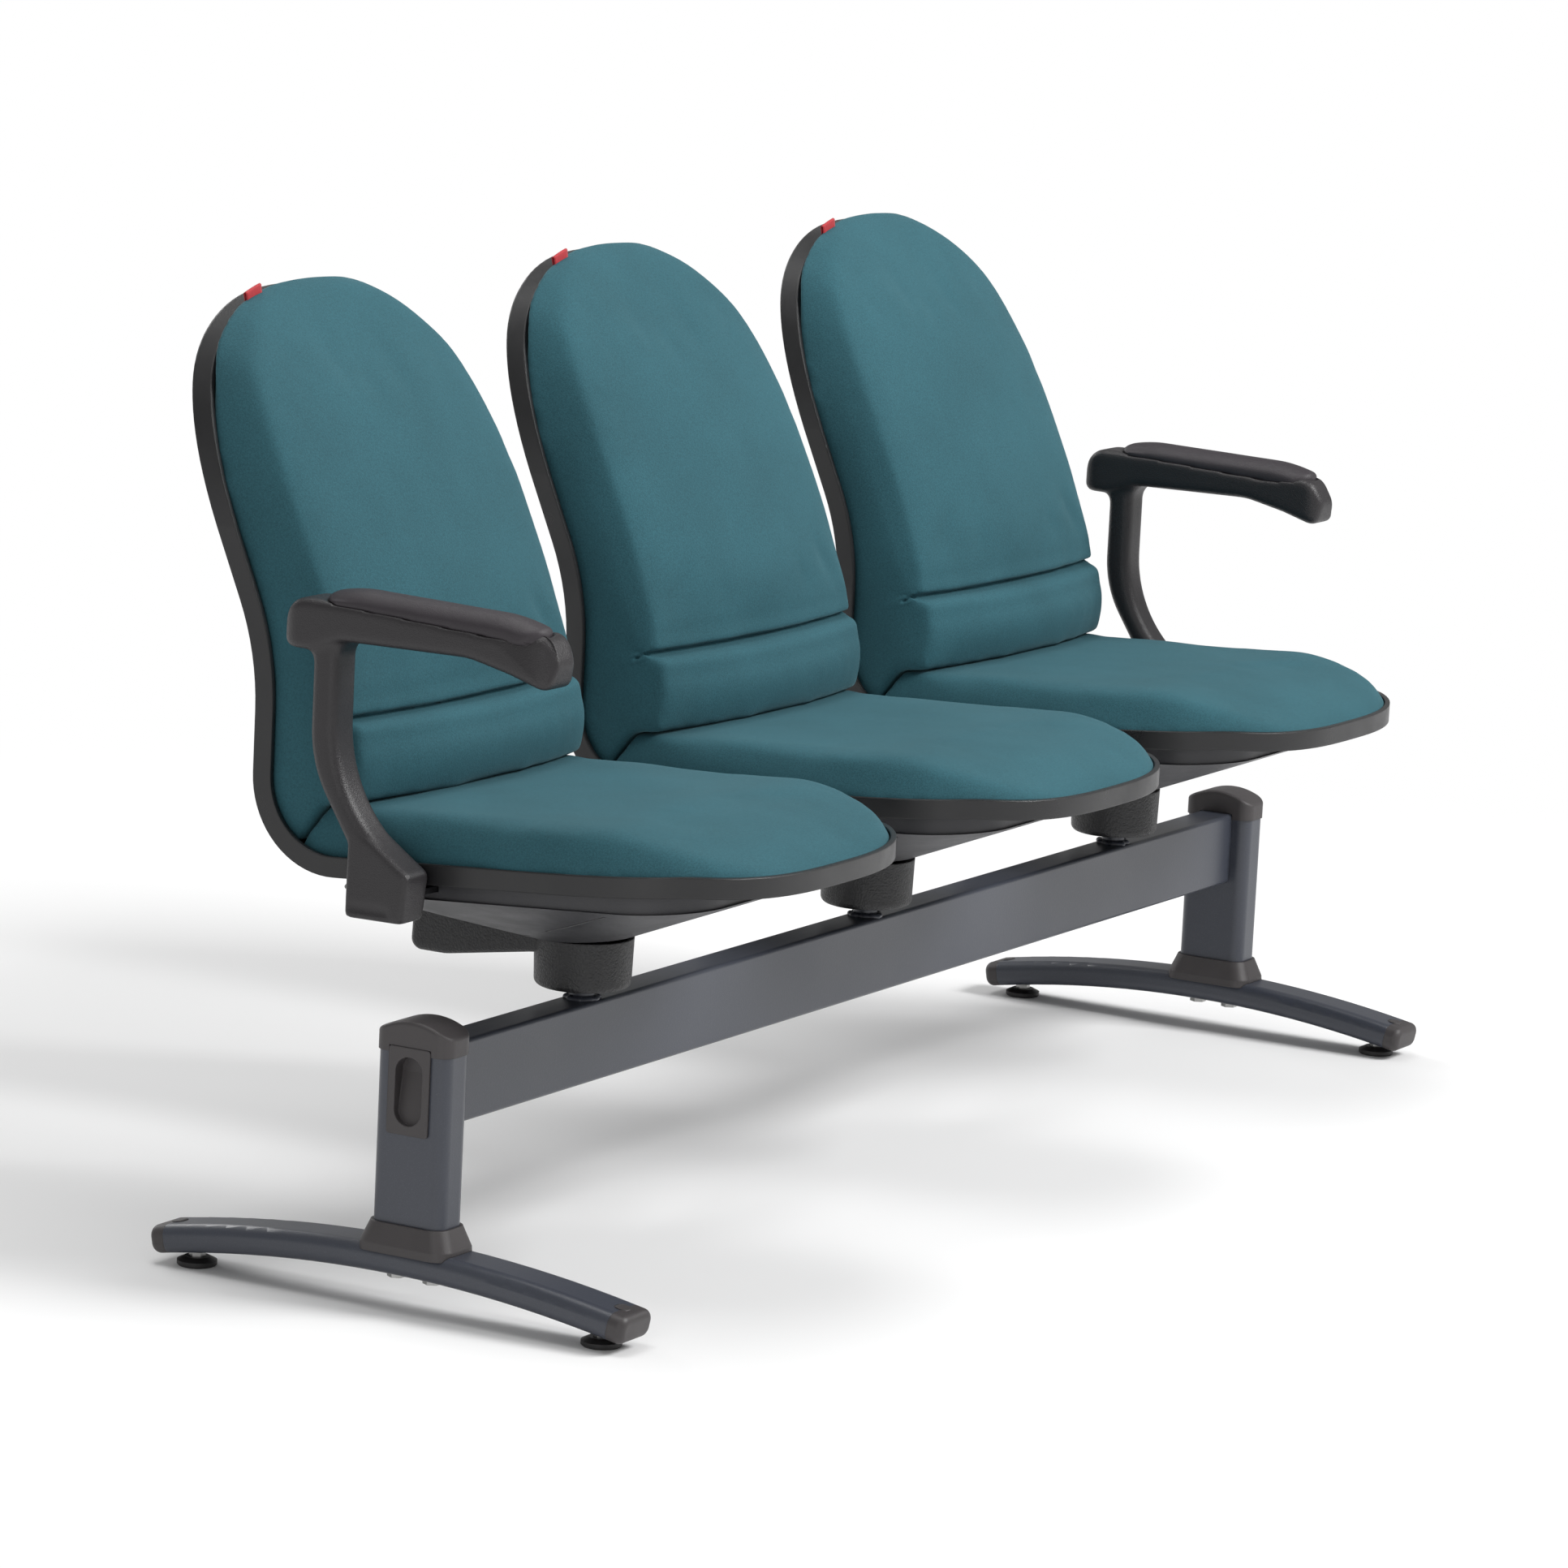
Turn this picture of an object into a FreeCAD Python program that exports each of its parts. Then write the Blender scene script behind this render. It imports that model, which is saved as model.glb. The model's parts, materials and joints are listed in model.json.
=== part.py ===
import FreeCAD
import Part
import math
import os

# Beam seating: three upholstered shells on a steel beam with two post legs.
# Frame: X along the beam, the sitter faces -Y, Z up, millimetres.
# All sizes are laid out about the mid line of the feet, and export() then
# moves everything by SHIFT_Y so that the origin is the middle of the footprint.

Vector = FreeCAD.Vector

# Driving dimensions of the row
SEAT_PITCH = 560.0
LEG_SPACING = 3 * SEAT_PITCH
SEAT_COUNT = 3
SHIFT_Y = -27.85

# Beam, stubs and legs
BEAM_Y = -20.0
BEAM_TOP = 255.0
BEAM_HEIGHT = 80.0
BEAM_DEPTH = 40.0
BEAM_WALL = 2.5
END_PLATE = 6.0
POST_WIDTH = 44.0
POST_DEPTH = 80.0
POST_RADIUS = 13.0
POST_WALL = 3.0
POST_TOP = 258.0
POST_IN = LEG_SPACING / 2 - POST_WIDTH / 2
STUB_DIAMETER = 25.0
STUB_TIP_DIAMETER = 22.0
STUB_TAPER_FROM = 290.0
STUB_TOP = 362.0
POCKET_Z = 213.0
POCKET_HALF_Y = 23.0
POCKET_HALF_Z = 42.0

# Arched feet
FOOT_WIDTH = 56.0
FOOT_HEIGHT = 28.0
FOOT_WALL = 2.5
FOOT_CORNER = 11.0
FOOT_TOP = 62.0
FOOT_ARCH_RADIUS = 1428.0
FOOT_BAR_HALF = 250.0
FOOT_TIP_HALF = 267.0
GLIDE_Y = 229.0
GLIDE_DIAMETER = 39.0
GLIDE_THICKNESS = 9.0
GLIDE_STOP_Z = 13.5
GLIDE_THREAD = 8.0

# Seat shell, measured on the outside of its skin in side view
SHELL_HALF = 224.0
SHELL_RIM = 20.0
SHELL_SKIN = 4.0
SHELL_RIM_WALL = 5.0
BASE_SLOPE = -0.0724
LIP_Y = -303.0
LIP_Z = 408.0
KNUCKLE_Y = -245.0
KNUCKLE_Z = 412.5
BACK_Y = 222.5
LUMBAR_Z = 590.0
UPPER_Z = 860.0
LEAN = 0.44
UPPER_LEAN = 0.30
BACK_TOP = 918.0
BACK_CENTRE = 690.0
SEAT_CENTRE = -90.0
ARCH_POWER_BACK = 2.5
ARCH_POWER_SEAT = 2.9

# Pan and cushions
PAN_THICKNESS = 6.0
RIM_CLEARANCE = 0.5
PAN_FACE = SHELL_SKIN + PAN_THICKNESS
CREASE_Z = 535.0
FOLD_Y = 150.0
FOLD_Z = 453.0
FOLD_SLANT = 0.55
FOLD_GAP = 0.3
SEAT_ROOM_TOP = 520.0
RIDGE_HALF = 200.0
CUSHION_RISE = 6.0
BLOCK_REAR_Y = 450.0
BLOCK_LOW_Z = 360.0

TAG_X = -98.0
TAG_Y = 328.5
TAG_EDGE_Z = 915.0
TAG_TURN = 17.0
TAG_WIDTH = 22.0
TAG_SEWN_IN = 15.0
TAG_PROUD = 7.0

# Boss, dish and mounting plate
BOSS_DIAMETER = 98.0
BOSS_BOTTOM = 268.0
HOUSING_ARM_HALF = 40.0
BOSS_TOP = 318.0
DISH_DROP = 18.0
DISH_WALL = 3.0
NECK_DROP = 78.0
SLOT_PLACES = [((145.0, -97.5), 145.0, -54.0), ((70.7, 4.0), 12.0, 90.0)]
PLATE_LENGTH = 210.0
PLATE_WIDTH = 180.0
PLATE_THICKNESS = 4.0
PLATE_SCREW_X = 68.0
PLATE_SCREW_Y = (-98.0, 75.0)

# Arms
ARM_CENTRE = 251.0
ARM_TOP_WIDTH = 50.0
ARM_POST_WIDTH = 40.0
GRIP_FRONT_Y = -146.0
GRIP_REAR_Y = 167.0
GRIP_EDGE = 8.5
PAD_ENDS = (-121.0, 121.0)
PAD_HALF_WIDTH = 22.5
PAD_RADIUS = 26.0
PAD_CROWN = ((140.0, 674.5), (-140.0, 666.0))
PAD_CORNERS = [
    (122, 656, 1), (122, 673.5, 14), (0, 680, 1), (-122, 667, 12), (-122, 640, 1), (-60, 646, 1),
]
BRACKET_WIDTH = 40.0
BRACKET_THICKNESS = 6.0
BRACKET_Y = 44.0


# Small geometry helpers

def box(x0, x1, y0, y1, z0, z1):
    return Part.makeBox(x1 - x0, y1 - y0, z1 - z0, Vector(x0, y0, z0))


def cylinder(diameter, x, y, z0, z1):
    return Part.makeCylinder(diameter / 2, z1 - z0, Vector(x, y, z0))


def x_cylinder(diameter, x0, x1, y, z):
    return Part.makeCylinder(diameter / 2, x1 - x0, Vector(x0, y, z), Vector(1, 0, 0))


def line(a, b):
    return Part.LineSegment(Vector(*a), Vector(*b)).toShape()


def arc(a, middle, b):
    return Part.Arc(Vector(*a), Vector(*middle), Vector(*b)).toShape()


def fuse_all(shapes):
    first = shapes[0]
    return first.fuse(shapes[1:]).removeSplitter() if len(shapes) > 1 else first


def hexagon(flats, centre, axis, height):
    radius = flats / math.sqrt(3)
    side = Vector(0, 1, 0) if abs(axis.x) > 0.5 else Vector(1, 0, 0)
    points = []
    for turn in range(7):
        spin = FreeCAD.Rotation(axis, 60.0 * turn)
        points.append(centre + spin.multVec(side * radius))
    return Part.Face(Part.makePolygon(points)).extrude(axis * height)


def rounded_rectangle(half_x, half_y, radius, centre_x, centre_y, z):
    """Closed wire at height z, four lines and four quarter arcs."""
    quarter = radius * (1 - math.sqrt(0.5))
    corners = [(1, -1), (1, 1), (-1, 1), (-1, -1)]
    edges = []
    for index, (sx, sy) in enumerate(corners):
        flip = index % 2 == 1
        near_x = (sx * (half_x - radius), sy * half_y)
        near_y = (sx * half_x, sy * (half_y - radius))
        start, end = (near_y, near_x) if flip else (near_x, near_y)
        middle = (sx * (half_x - quarter), sy * (half_y - quarter))
        edges.append((start, middle, end))
    shapes = []
    for index, (start, middle, end) in enumerate(edges):
        following = edges[(index + 1) % 4][0]
        points = [(centre_x + p[0], centre_y + p[1], z) for p in (start, middle, end, following)]
        shapes.append(arc(points[0], points[1], points[2]))
        shapes.append(line(points[2], points[3]))
    return Part.Wire(shapes)


def prism(wire, height):
    return Part.Face(wire).extrude(Vector(0, 0, height))


def rounded_block(half_x, half_y, radius, centre_x, centre_y, z0, z1):
    wire = rounded_rectangle(half_x, half_y, radius, centre_x, centre_y, z0)
    return prism(wire, z1 - z0)


def rounded_path(points, radii):
    """Edges in the side view plane: straight runs joined by tangent arcs."""
    edges = []
    start = Vector(0, *points[0])
    for index in range(1, len(points) - 1):
        corner = Vector(0, *points[index])
        back = (Vector(0, *points[index - 1]) - corner).normalize()
        ahead = (Vector(0, *points[index + 1]) - corner).normalize()
        half_turn = (math.pi - back.getAngle(ahead)) / 2
        reach = radii[index] * math.tan(half_turn)
        bisector = (back + ahead).normalize()
        depth = radii[index] * (1 / math.cos(half_turn) - 1)
        first = corner + back * reach
        last = corner + ahead * reach
        edges.append(Part.LineSegment(start, first).toShape())
        edges.append(Part.Arc(first, corner + bisector * depth, last).toShape())
        start = last
    edges.append(Part.LineSegment(start, Vector(0, *points[-1])).toShape())
    return edges


# Side view of the seat shell

def profile_vertices():
    upper_y = BACK_Y + LEAN * (UPPER_Z - LUMBAR_Z)
    top_z = BACK_TOP + 32
    heel_z = KNUCKLE_Z + BASE_SLOPE * (BACK_Y - KNUCKLE_Y)
    points = [
        (LIP_Y, LIP_Z),
        (KNUCKLE_Y, KNUCKLE_Z),
        (BACK_Y, heel_z),
        (BACK_Y, LUMBAR_Z),
        (upper_y, UPPER_Z),
        (upper_y + UPPER_LEAN * (top_z - UPPER_Z), top_z),
    ]
    radii = [0, 150, 90, 260, 400, 0]
    turns = [0, -1, 1, -1, 1, 0]
    return points, radii, turns


def offset_profile(offset):
    """The same side view, moved towards the sitter by offset."""
    points, radii, turns = profile_vertices()
    runs = [Vector(0, *b) - Vector(0, *a) for a, b in zip(points, points[1:])]
    normals = [Vector(0, -run.z, run.y).normalize() for run in runs]
    moved = [Vector(0, *points[0]) + normals[0] * offset]
    for index in range(1, len(points) - 1):
        bisector = (normals[index - 1] + normals[index]).normalize()
        stretch = offset / bisector.dot(normals[index])
        moved.append(Vector(0, *points[index]) + bisector * stretch)
    moved.append(Vector(0, *points[-1]) + normals[-1] * offset)
    new_radii = [max(radius - turn * offset, 1.0) for radius, turn in zip(radii, turns)]
    return [(point.y, point.z) for point in moved], new_radii


def extrude_side(edges, half_x):
    wire = Part.Wire(edges)
    wire.translate(Vector(-half_x, 0, 0))
    return Part.Face(wire).extrude(Vector(2 * half_x, 0, 0))


def band(near, far, half_x=SHELL_HALF + 20):
    """Solid between two offsets of the side view."""
    points_a, radii_a = offset_profile(near)
    points_b, radii_b = offset_profile(far)
    edges = rounded_path(points_a, radii_a)
    edges.append(line((0,) + points_a[-1], (0,) + points_b[-1]))
    edges += rounded_path(points_b, radii_b)
    edges.append(line((0,) + points_b[0], (0,) + points_a[0]))
    return extrude_side(Part.__sortEdges__(edges), half_x)


def behind(offset):
    """Everything under and behind one offset of the side view."""
    points, radii = offset_profile(offset)
    far_y, low_z, front_y = 620.0, 200.0, -420.0
    edges = rounded_path(points, radii)
    corners = [points[-1], (far_y, points[-1][1]), (far_y, low_z), (front_y, low_z)]
    corners += [(front_y, points[0][1]), points[0]]
    edges += [line((0,) + a, (0,) + b) for a, b in zip(corners, corners[1:])]
    return extrude_side(Part.__sortEdges__(edges), SHELL_HALF + 60)


def base_height(y):
    """Height of the shell's underside on its straight seat run."""
    return KNUCKLE_Z + BASE_SLOPE * (y - KNUCKLE_Y)


# Outline of the shell, seen square to the back and from above

def arch_points(half, reach, power, count=7):
    """Quarter of a rounded arch from its side to its crown."""
    points = []
    for step in range(count + 1):
        angle = math.pi / 2 * step / count
        across = half * math.cos(angle) ** (2 / power)
        along = reach * math.sin(angle) ** (2 / power)
        points.append((across, along))
    return points


def arch_face(half, foot, centre, reach, power, vertical, depth=lambda z: 0.0):
    """Straight sides from foot to centre, then the arch."""
    quarter = arch_points(half, reach, power)
    mirrored = [(-across, along) for across, along in reversed(quarter[:-1])]

    def place(across, along):
        return Vector(across, depth(along), along) if vertical else Vector(across, along, 0)

    curve = Part.BSplineCurve()
    curve.interpolate([place(across, centre + along) for across, along in quarter + mirrored])
    left_foot = place(-half, foot)
    right_foot = place(half, foot)
    left = Part.LineSegment(place(-half, centre), left_foot).toShape()
    bottom = Part.LineSegment(left_foot, right_foot).toShape()
    right = Part.LineSegment(right_foot, place(half, centre)).toShape()
    return Part.Face(Part.Wire([curve.toShape(), left, bottom, right]))


def shell_outline(inset):
    """Prism that trims the side view to the arched back and the rounded seat."""
    half = SHELL_HALF - inset
    back = arch_face(half, 300.0, BACK_CENTRE, BACK_TOP - BACK_CENTRE - inset, ARCH_POWER_BACK, True)
    back.translate(Vector(0, -450, 0))
    seat_reach = SEAT_CENTRE - LIP_Y - inset
    seat = arch_face(half, 560.0, SEAT_CENTRE, -seat_reach, ARCH_POWER_SEAT, False)
    seat.translate(Vector(0, 0, 250))
    return back.extrude(Vector(0, 1100, 0)).common(seat.extrude(Vector(0, 0, 750)))


# Pieces of one seat, about x = 0

def plate_screw_places():
    return [(sx * PLATE_SCREW_X, y) for sx in (-1, 1) for y in PLATE_SCREW_Y]


def tilted(shape):
    """Lay a shape built level at the boss onto the sloping underside."""
    placed = shape.copy()
    placed.rotate(Vector(0, 0, 0), Vector(1, 0, 0), math.degrees(math.atan(BASE_SLOPE)))
    placed.translate(Vector(0, BEAM_Y, base_height(BEAM_Y)))
    return placed


def screw_holes(diameter, z0, z1):
    holes = [cylinder(diameter, x, y - BEAM_Y, z0, z1) for x, y in plate_screw_places()]
    return [tilted(hole) for hole in holes]


def make_seat_shell():
    outer = band(0, SHELL_RIM).common(shell_outline(0))
    hollow = band(SHELL_SKIN, SHELL_RIM + 30).common(shell_outline(SHELL_RIM_WALL))
    return outer.cut(hollow).cut(fuse_all(screw_holes(7.0, -3, 12)))


def make_inner_pan():
    pan = band(SHELL_SKIN, PAN_FACE).common(shell_outline(SHELL_RIM_WALL + RIM_CLEARANCE))
    return pan.cut(fuse_all(screw_holes(6.4, -3, 12)))


def lean_plane(z):
    """Depth of the plane that follows the lean of the back."""
    return BACK_Y + LEAN * (z - LUMBAR_Z)


def pad_section(rear, half, middle, edge, place):
    """Closed section with straight sides, whose front face is crowned."""
    outer = middle + (edge - middle) * (half / RIDGE_HALF) ** 2
    left_rear, right_rear = place(-half, rear), place(half, rear)
    left_front, right_front = place(-half, outer), place(half, outer)
    return Part.Wire([
        Part.LineSegment(left_rear, right_rear).toShape(),
        Part.LineSegment(right_rear, right_front).toShape(),
        Part.Arc(right_front, place(0, middle), left_front).toShape(),
        Part.LineSegment(left_front, left_rear).toShape(),
    ])


def back_block(stations):
    """Smooth body through level sections of the back."""
    sections = []
    for z, middle_y, edge_y in stations:
        place = (lambda level: lambda across, depth: Vector(across, depth, level))(z)
        sections.append(pad_section(BLOCK_REAR_Y, SHELL_HALF, middle_y, edge_y, place))
    return Part.makeLoft(sections, True, False)


def seat_block(stations):
    """Smooth body through upright sections of the seat."""
    sections = []
    for y, middle_z, edge_z in stations:
        place = (lambda along: lambda across, level: Vector(across, along, level))(y)
        sections.append(pad_section(BLOCK_LOW_Z, SHELL_HALF, middle_z, edge_z, place))
    return Part.makeLoft(sections, True, False)


def drawn_in_back():
    """Arched outlines that shrink towards the sitter, square to the lean."""
    wires = []
    for inset, forward in BACK_DRAW:
        half = SHELL_HALF - inset
        wire = arch_face(half, 330.0, BACK_CENTRE, BACK_TOP - BACK_CENTRE - inset + CUSHION_RISE,
                         ARCH_POWER_BACK, True, lambda z: lean_plane(z) - forward).OuterWire
        wires.append(wire)
    return Part.makeLoft(wires, True, False)


def drawn_in_seat():
    """Rounded seat outlines that shrink towards the top."""
    wires = []
    for inset, level in SEAT_DRAW:
        reach = SEAT_CENTRE - LIP_Y - inset
        face = arch_face(SHELL_HALF - inset, 330.0, SEAT_CENTRE, -reach, ARCH_POWER_SEAT, False)
        face.translate(Vector(0, 0, level))
        wires.append(face.OuterWire)
    return Part.makeLoft(wires, True, False)


def under_fold(rear_y, top_z):
    """Room of the seat pad: up to top_z, and ahead of the slanting fold behind it."""
    low_z, front_y = 250.0, -420.0
    fold_run = (FOLD_Z - low_z) * FOLD_SLANT
    corners = [
        (front_y, low_z), (front_y, top_z), (rear_y, top_z), (rear_y, FOLD_Z - 0.1),
        (rear_y + fold_run, low_z), (front_y, low_z),
    ]
    edges = [line((0,) + a, (0,) + b) for a, b in zip(corners, corners[1:])]
    return extrude_side(edges, SHELL_HALF + 60)


# Height, front face at the middle, and front face at its soft edge
ROLL_STATIONS = [
    (400, 132, 152), (425, 112, 130), (455, 92, 116), (485, 83, 110), (512, 90, 113),
    (CREASE_Z, 122, 138),
]
PAD_STATIONS = [
    (CREASE_Z, 126, 140), (548, 112, 127), (575, 114, 132), (640, 138, 157), (720, 176, 193),
    (800, 221, 236), (862, 266, 279), (900, 303, 313), (932, 345, 350), (950, 375, 378),
]

# Distance along the seat, top at the middle, and top at its soft edge
SEAT_STATIONS = [
    (230, 455, 447), (190, 455, 449), (150, 456, 451), (110, 456, 453), (70, 457, 455),
    (30, 457, 458), (-10, 458, 459), (-50, 459, 461), (-90, 461, 463), (-130, 464, 466),
    (-165, 465, 467), (-200, 463, 461), (-232, 456, 453), (-260, 446, 443), (-283, 433, 431),
    (-300, 419, 418),
]

# Inset of the outline at each step forward from the lean, or at each level
BACK_DRAW = [(6.0, -80.0), (6.0, 6.0), (13.0, 50.0), (25.0, 88.0), (33.0, 112.0), (48.0, 190.0)]
SEAT_DRAW = [(6.0, 370.0), (6.0, 408.0), (11.0, 434.0), (24.0, 460.0), (34.0, 476.0)]


def make_back_cushion(seat):
    pad = fuse_all([back_block(ROLL_STATIONS), back_block(PAD_STATIONS)])
    pad = pad.common(drawn_in_back()).common(back_space())
    pad = pad.cut(behind(PAN_FACE)).cut(under_fold(FOLD_Y, FOLD_Z))
    return largest(pad.cut(moved(seat, 0, FOLD_GAP, FOLD_GAP)))


def back_space():
    """Room inside the rim, seen square to the back."""
    face = arch_face(SHELL_HALF - SHELL_RIM_WALL - 1.0, 300.0, BACK_CENTRE,
                     BACK_TOP - BACK_CENTRE - SHELL_RIM_WALL - 1.0, ARCH_POWER_BACK, True)
    face.translate(Vector(0, -450, 0))
    return face.extrude(Vector(0, 1100, 0))


def make_seat_cushion():
    pad = seat_block(SEAT_STATIONS).common(drawn_in_seat())
    return largest(pad.cut(behind(PAN_FACE)).common(under_fold(FOLD_Y - 2 * FOLD_GAP, SEAT_ROOM_TOP)))


def largest(shape):
    return max(shape.Solids, key=lambda solid: solid.Volume)


def make_mount_plate():
    plate = rounded_block(PLATE_WIDTH / 2, PLATE_LENGTH / 2, 16, 0, 0, -PLATE_THICKNESS, 0)
    plate = tilted(plate)
    socket_bottom = STUB_TAPER_FROM - 5
    socket = cylinder(46.0, 0, BEAM_Y, socket_bottom, base_height(BEAM_Y) - 1)
    ribs = [box(-62, 62, BEAM_Y - 2, BEAM_Y + 2, 366, 390)]
    ribs.append(box(-2, 2, BEAM_Y - 62, BEAM_Y + 62, 366, 384))
    body = fuse_all([plate, socket] + ribs)
    above = tilted(box(-120, 120, -140, 140, 0, 30))
    body = body.cut(above)
    body = body.cut(stub_taper(0, STUB_TOP + 4))
    body = body.cut(cylinder(STUB_DIAMETER + 1, 0, BEAM_Y, socket_bottom - 1, STUB_TAPER_FROM))
    return body.cut(fuse_all(screw_holes(6.6, -PLATE_THICKNESS - 2, 1)))


def stub_taper(x, top):
    drop = (STUB_DIAMETER - STUB_TIP_DIAMETER) / 2
    tip = STUB_DIAMETER / 2 - drop * (top - STUB_TAPER_FROM) / (STUB_TOP - STUB_TAPER_FROM)
    height = top - STUB_TAPER_FROM
    return Part.makeCone(STUB_DIAMETER / 2, tip, height, Vector(x, BEAM_Y, STUB_TAPER_FROM))


def dish_outline(half_x, front, rear, corner, drop):
    """One rounded outline of the dish, parallel to the sloping underside."""
    middle = (front + rear) / 2 - BEAM_Y
    wire = rounded_rectangle(half_x, (rear - front) / 2, corner, 0, middle, 0)
    wire = tilted(wire)
    wire.translate(Vector(0, 0, -drop))
    return wire


def dish_body(wall):
    """Recessed band under the rim, then the shallow dish that runs to the boss."""
    neck = 51.0 - wall * 1.8
    upper = dish_outline(199 - wall, -246 + wall, 160 - wall, 74 - wall, -14)
    lower = dish_outline(199 - wall, -246 + wall, 160 - wall, 74 - wall, DISH_DROP - wall)
    band_part = Part.makeLoft([upper, lower], True, True)
    lip = dish_outline(202 - wall * 1.4, -249 + wall * 1.4, 163 - wall * 1.4, 76 - wall, DISH_DROP - wall)
    waist = dish_outline(128 - wall * 1.4, -158 + wall * 1.4, 98 - wall * 1.4, 70 - wall, 49 - wall)
    end = dish_outline(neck, BEAM_Y - neck, BEAM_Y + neck, neck - 0.1, NECK_DROP + wall * 0.4)
    return band_part.fuse(Part.makeLoft([lip, waist, end], True, True))


def dish_slots():
    """Narrow slots moulded through the front flanks of the dish."""
    slots = []
    for side in (-1, 1):
        for (x, y), length, turn in SLOT_PLACES:
            slot = box(-length / 2, length / 2, -1.3, 1.3, 300, 420)
            slot.rotate(Vector(0, 0, 0), Vector(0, 0, 1), side * turn)
            slots.append(moved(slot, side * x, y, 0))
    return fuse_all(slots)


def make_under_cover(bracket_side):
    cover = dish_body(0).cut(dish_body(DISH_WALL)).cut(dish_slots())
    cover = cover.cut(inside_of_shell())
    if bracket_side:
        cover = cover.cut(arm_bracket_blank(bracket_side, 0.4))
    return largest(cover)


def inside_of_shell():
    """Everything above the shell's underside."""
    whole = box(-300, 300, -420, 620, 200, 700)
    return whole.cut(behind(0))


def make_boss_housing():
    """Round cup for the socket, with the box arm that runs to the rear."""
    radius, wall = BOSS_DIAMETER / 2, 3.0
    cup = Part.makeCone(radius - 1.5, radius, BOSS_TOP - BOSS_BOTTOM, Vector(0, BEAM_Y, BOSS_BOTTOM))
    cup = cup.makeFillet(7.0, [edge for edge in cup.Edges if near_height(edge, BOSS_BOTTOM)])
    arm = housing_arm(0.0)
    arm = arm.makeFillet(9.0, housing_arm_edges(arm))
    cup_hollow = cylinder(BOSS_DIAMETER - 9, 0, BEAM_Y, BOSS_BOTTOM + wall, BOSS_BOTTOM + 80)
    housing = cup.fuse(arm).cut(cup_hollow).cut(housing_arm(wall))
    housing = housing.cut(cylinder(STUB_DIAMETER + 3, 0, BEAM_Y, BOSS_BOTTOM - 2, BOSS_BOTTOM + 9))
    return largest(housing.cut(dish_body(0)).removeSplitter())


def housing_arm(wall):
    """Extruded side view of the box arm, or of the room inside it."""
    rise = 8.0 if wall else 0.0
    corners = [
        (BEAM_Y, 303 + wall, 1), (BEAM_Y + 40, 300 + wall, 60), (118, 284 + wall, 60),
        (158 - wall, 284 + wall, 12 - wall), (154 - wall, 372 + rise, 1), (BEAM_Y, 372 + rise, 1),
    ]
    wire = rounded_polygon(corners)
    half = HOUSING_ARM_HALF - wall
    wire.translate(Vector(-half, 0, 0))
    return Part.Face(wire).extrude(Vector(2 * half, 0, 0))


def housing_arm_edges(arm):
    """The outline edges of the arm that show, from the cup round the rear end."""
    found = []
    for edge in arm.Edges:
        bounds = edge.BoundBox
        flat = bounds.XMax - bounds.XMin < 0.01
        if flat and edge.CenterOfMass.y > BEAM_Y + 5 and edge.CenterOfMass.z < 350:
            found.append(edge)
    return found


def near_height(edge, z):
    return abs(edge.BoundBox.ZMin - z) < 0.01 and abs(edge.BoundBox.ZMax - z) < 0.01


def make_plate_screws():
    """Pan head screws through the plate and the shell into the pan."""
    screws = []
    for x, y in plate_screw_places():
        head = Part.makeCone(4.2, 6.0, 3.6, Vector(x, y - BEAM_Y, -PLATE_THICKNESS - 3.6))
        shank = cylinder(6.0, x, y - BEAM_Y, -PLATE_THICKNESS, SHELL_SKIN + 5.0)
        screws.append(tilted(head.fuse(shank)))
    return screws


def make_back_tag():
    """Folded ribbon loop sewn in at the top left of the back, square to the arch."""
    half = TAG_WIDTH / 2
    tag = box(-half, half, TAG_Y - 1.6, TAG_Y + 1.6, -TAG_SEWN_IN, TAG_PROUD)
    tag.rotate(Vector(0, 0, 0), Vector(0, 1, 0), -TAG_TURN)
    return moved(tag, TAG_X, 0, TAG_EDGE_Z)


# Arms

def arm_bracket_blank(side, gap=0.0):
    """Flat bar from under the mounting plate out into the arm."""
    top = -PLATE_THICKNESS + gap
    bottom = -PLATE_THICKNESS - BRACKET_THICKNESS - gap
    half = BRACKET_WIDTH / 2 + gap
    x0, x1 = sorted((side * 50.0, side * (ARM_CENTRE + 8.0 + gap)))
    y = BRACKET_Y - BEAM_Y
    return tilted(box(x0, x1, y - half, y + half, bottom, top))


def make_arm_bracket(side):
    holes = []
    for x in (62.0, 82.0):
        hole = cylinder(6.4, side * x, BRACKET_Y - BEAM_Y, -30, 5)
        holes.append(tilted(hole))
    return arm_bracket_blank(side).cut(fuse_all(holes))


def rounded_polygon(corners):
    """Closed side view outline from (y, z, radius) corners, all joints tangent."""
    joints = []
    for index, (y, z, radius) in enumerate(corners):
        corner = Vector(0, y, z)
        before = Vector(0, *corners[index - 1][:2])
        after = Vector(0, *corners[(index + 1) % len(corners)][:2])
        back = (before - corner).normalize()
        ahead = (after - corner).normalize()
        half_turn = (math.pi - back.getAngle(ahead)) / 2
        reach = radius * math.tan(half_turn)
        depth = radius * (1 / math.cos(half_turn) - 1)
        middle = corner + (back + ahead).normalize() * depth
        joints.append((corner + back * reach, middle, corner + ahead * reach))
    edges = []
    for index, (first, middle, last) in enumerate(joints):
        edges.append(Part.Arc(first, middle, last).toShape())
        following = joints[(index + 1) % len(joints)][0]
        edges.append(Part.LineSegment(last, following).toShape())
    return Part.Wire(edges)


# Side view corners of the grip, from its rear end over the top to the nose
ARM_TOP_CORNERS = [
    (162, 610, 10), (160, 660, 26), (60, 659.5, 300), (-70, 650.5, 60), (-128, 656, 16),
    (-141, 632, 30), (-134.5, 600, 9.5), (-92, 613, 60), (-45, 623.5, 90), (95, 622, 40),
    (128, 610, 30),
]

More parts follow.
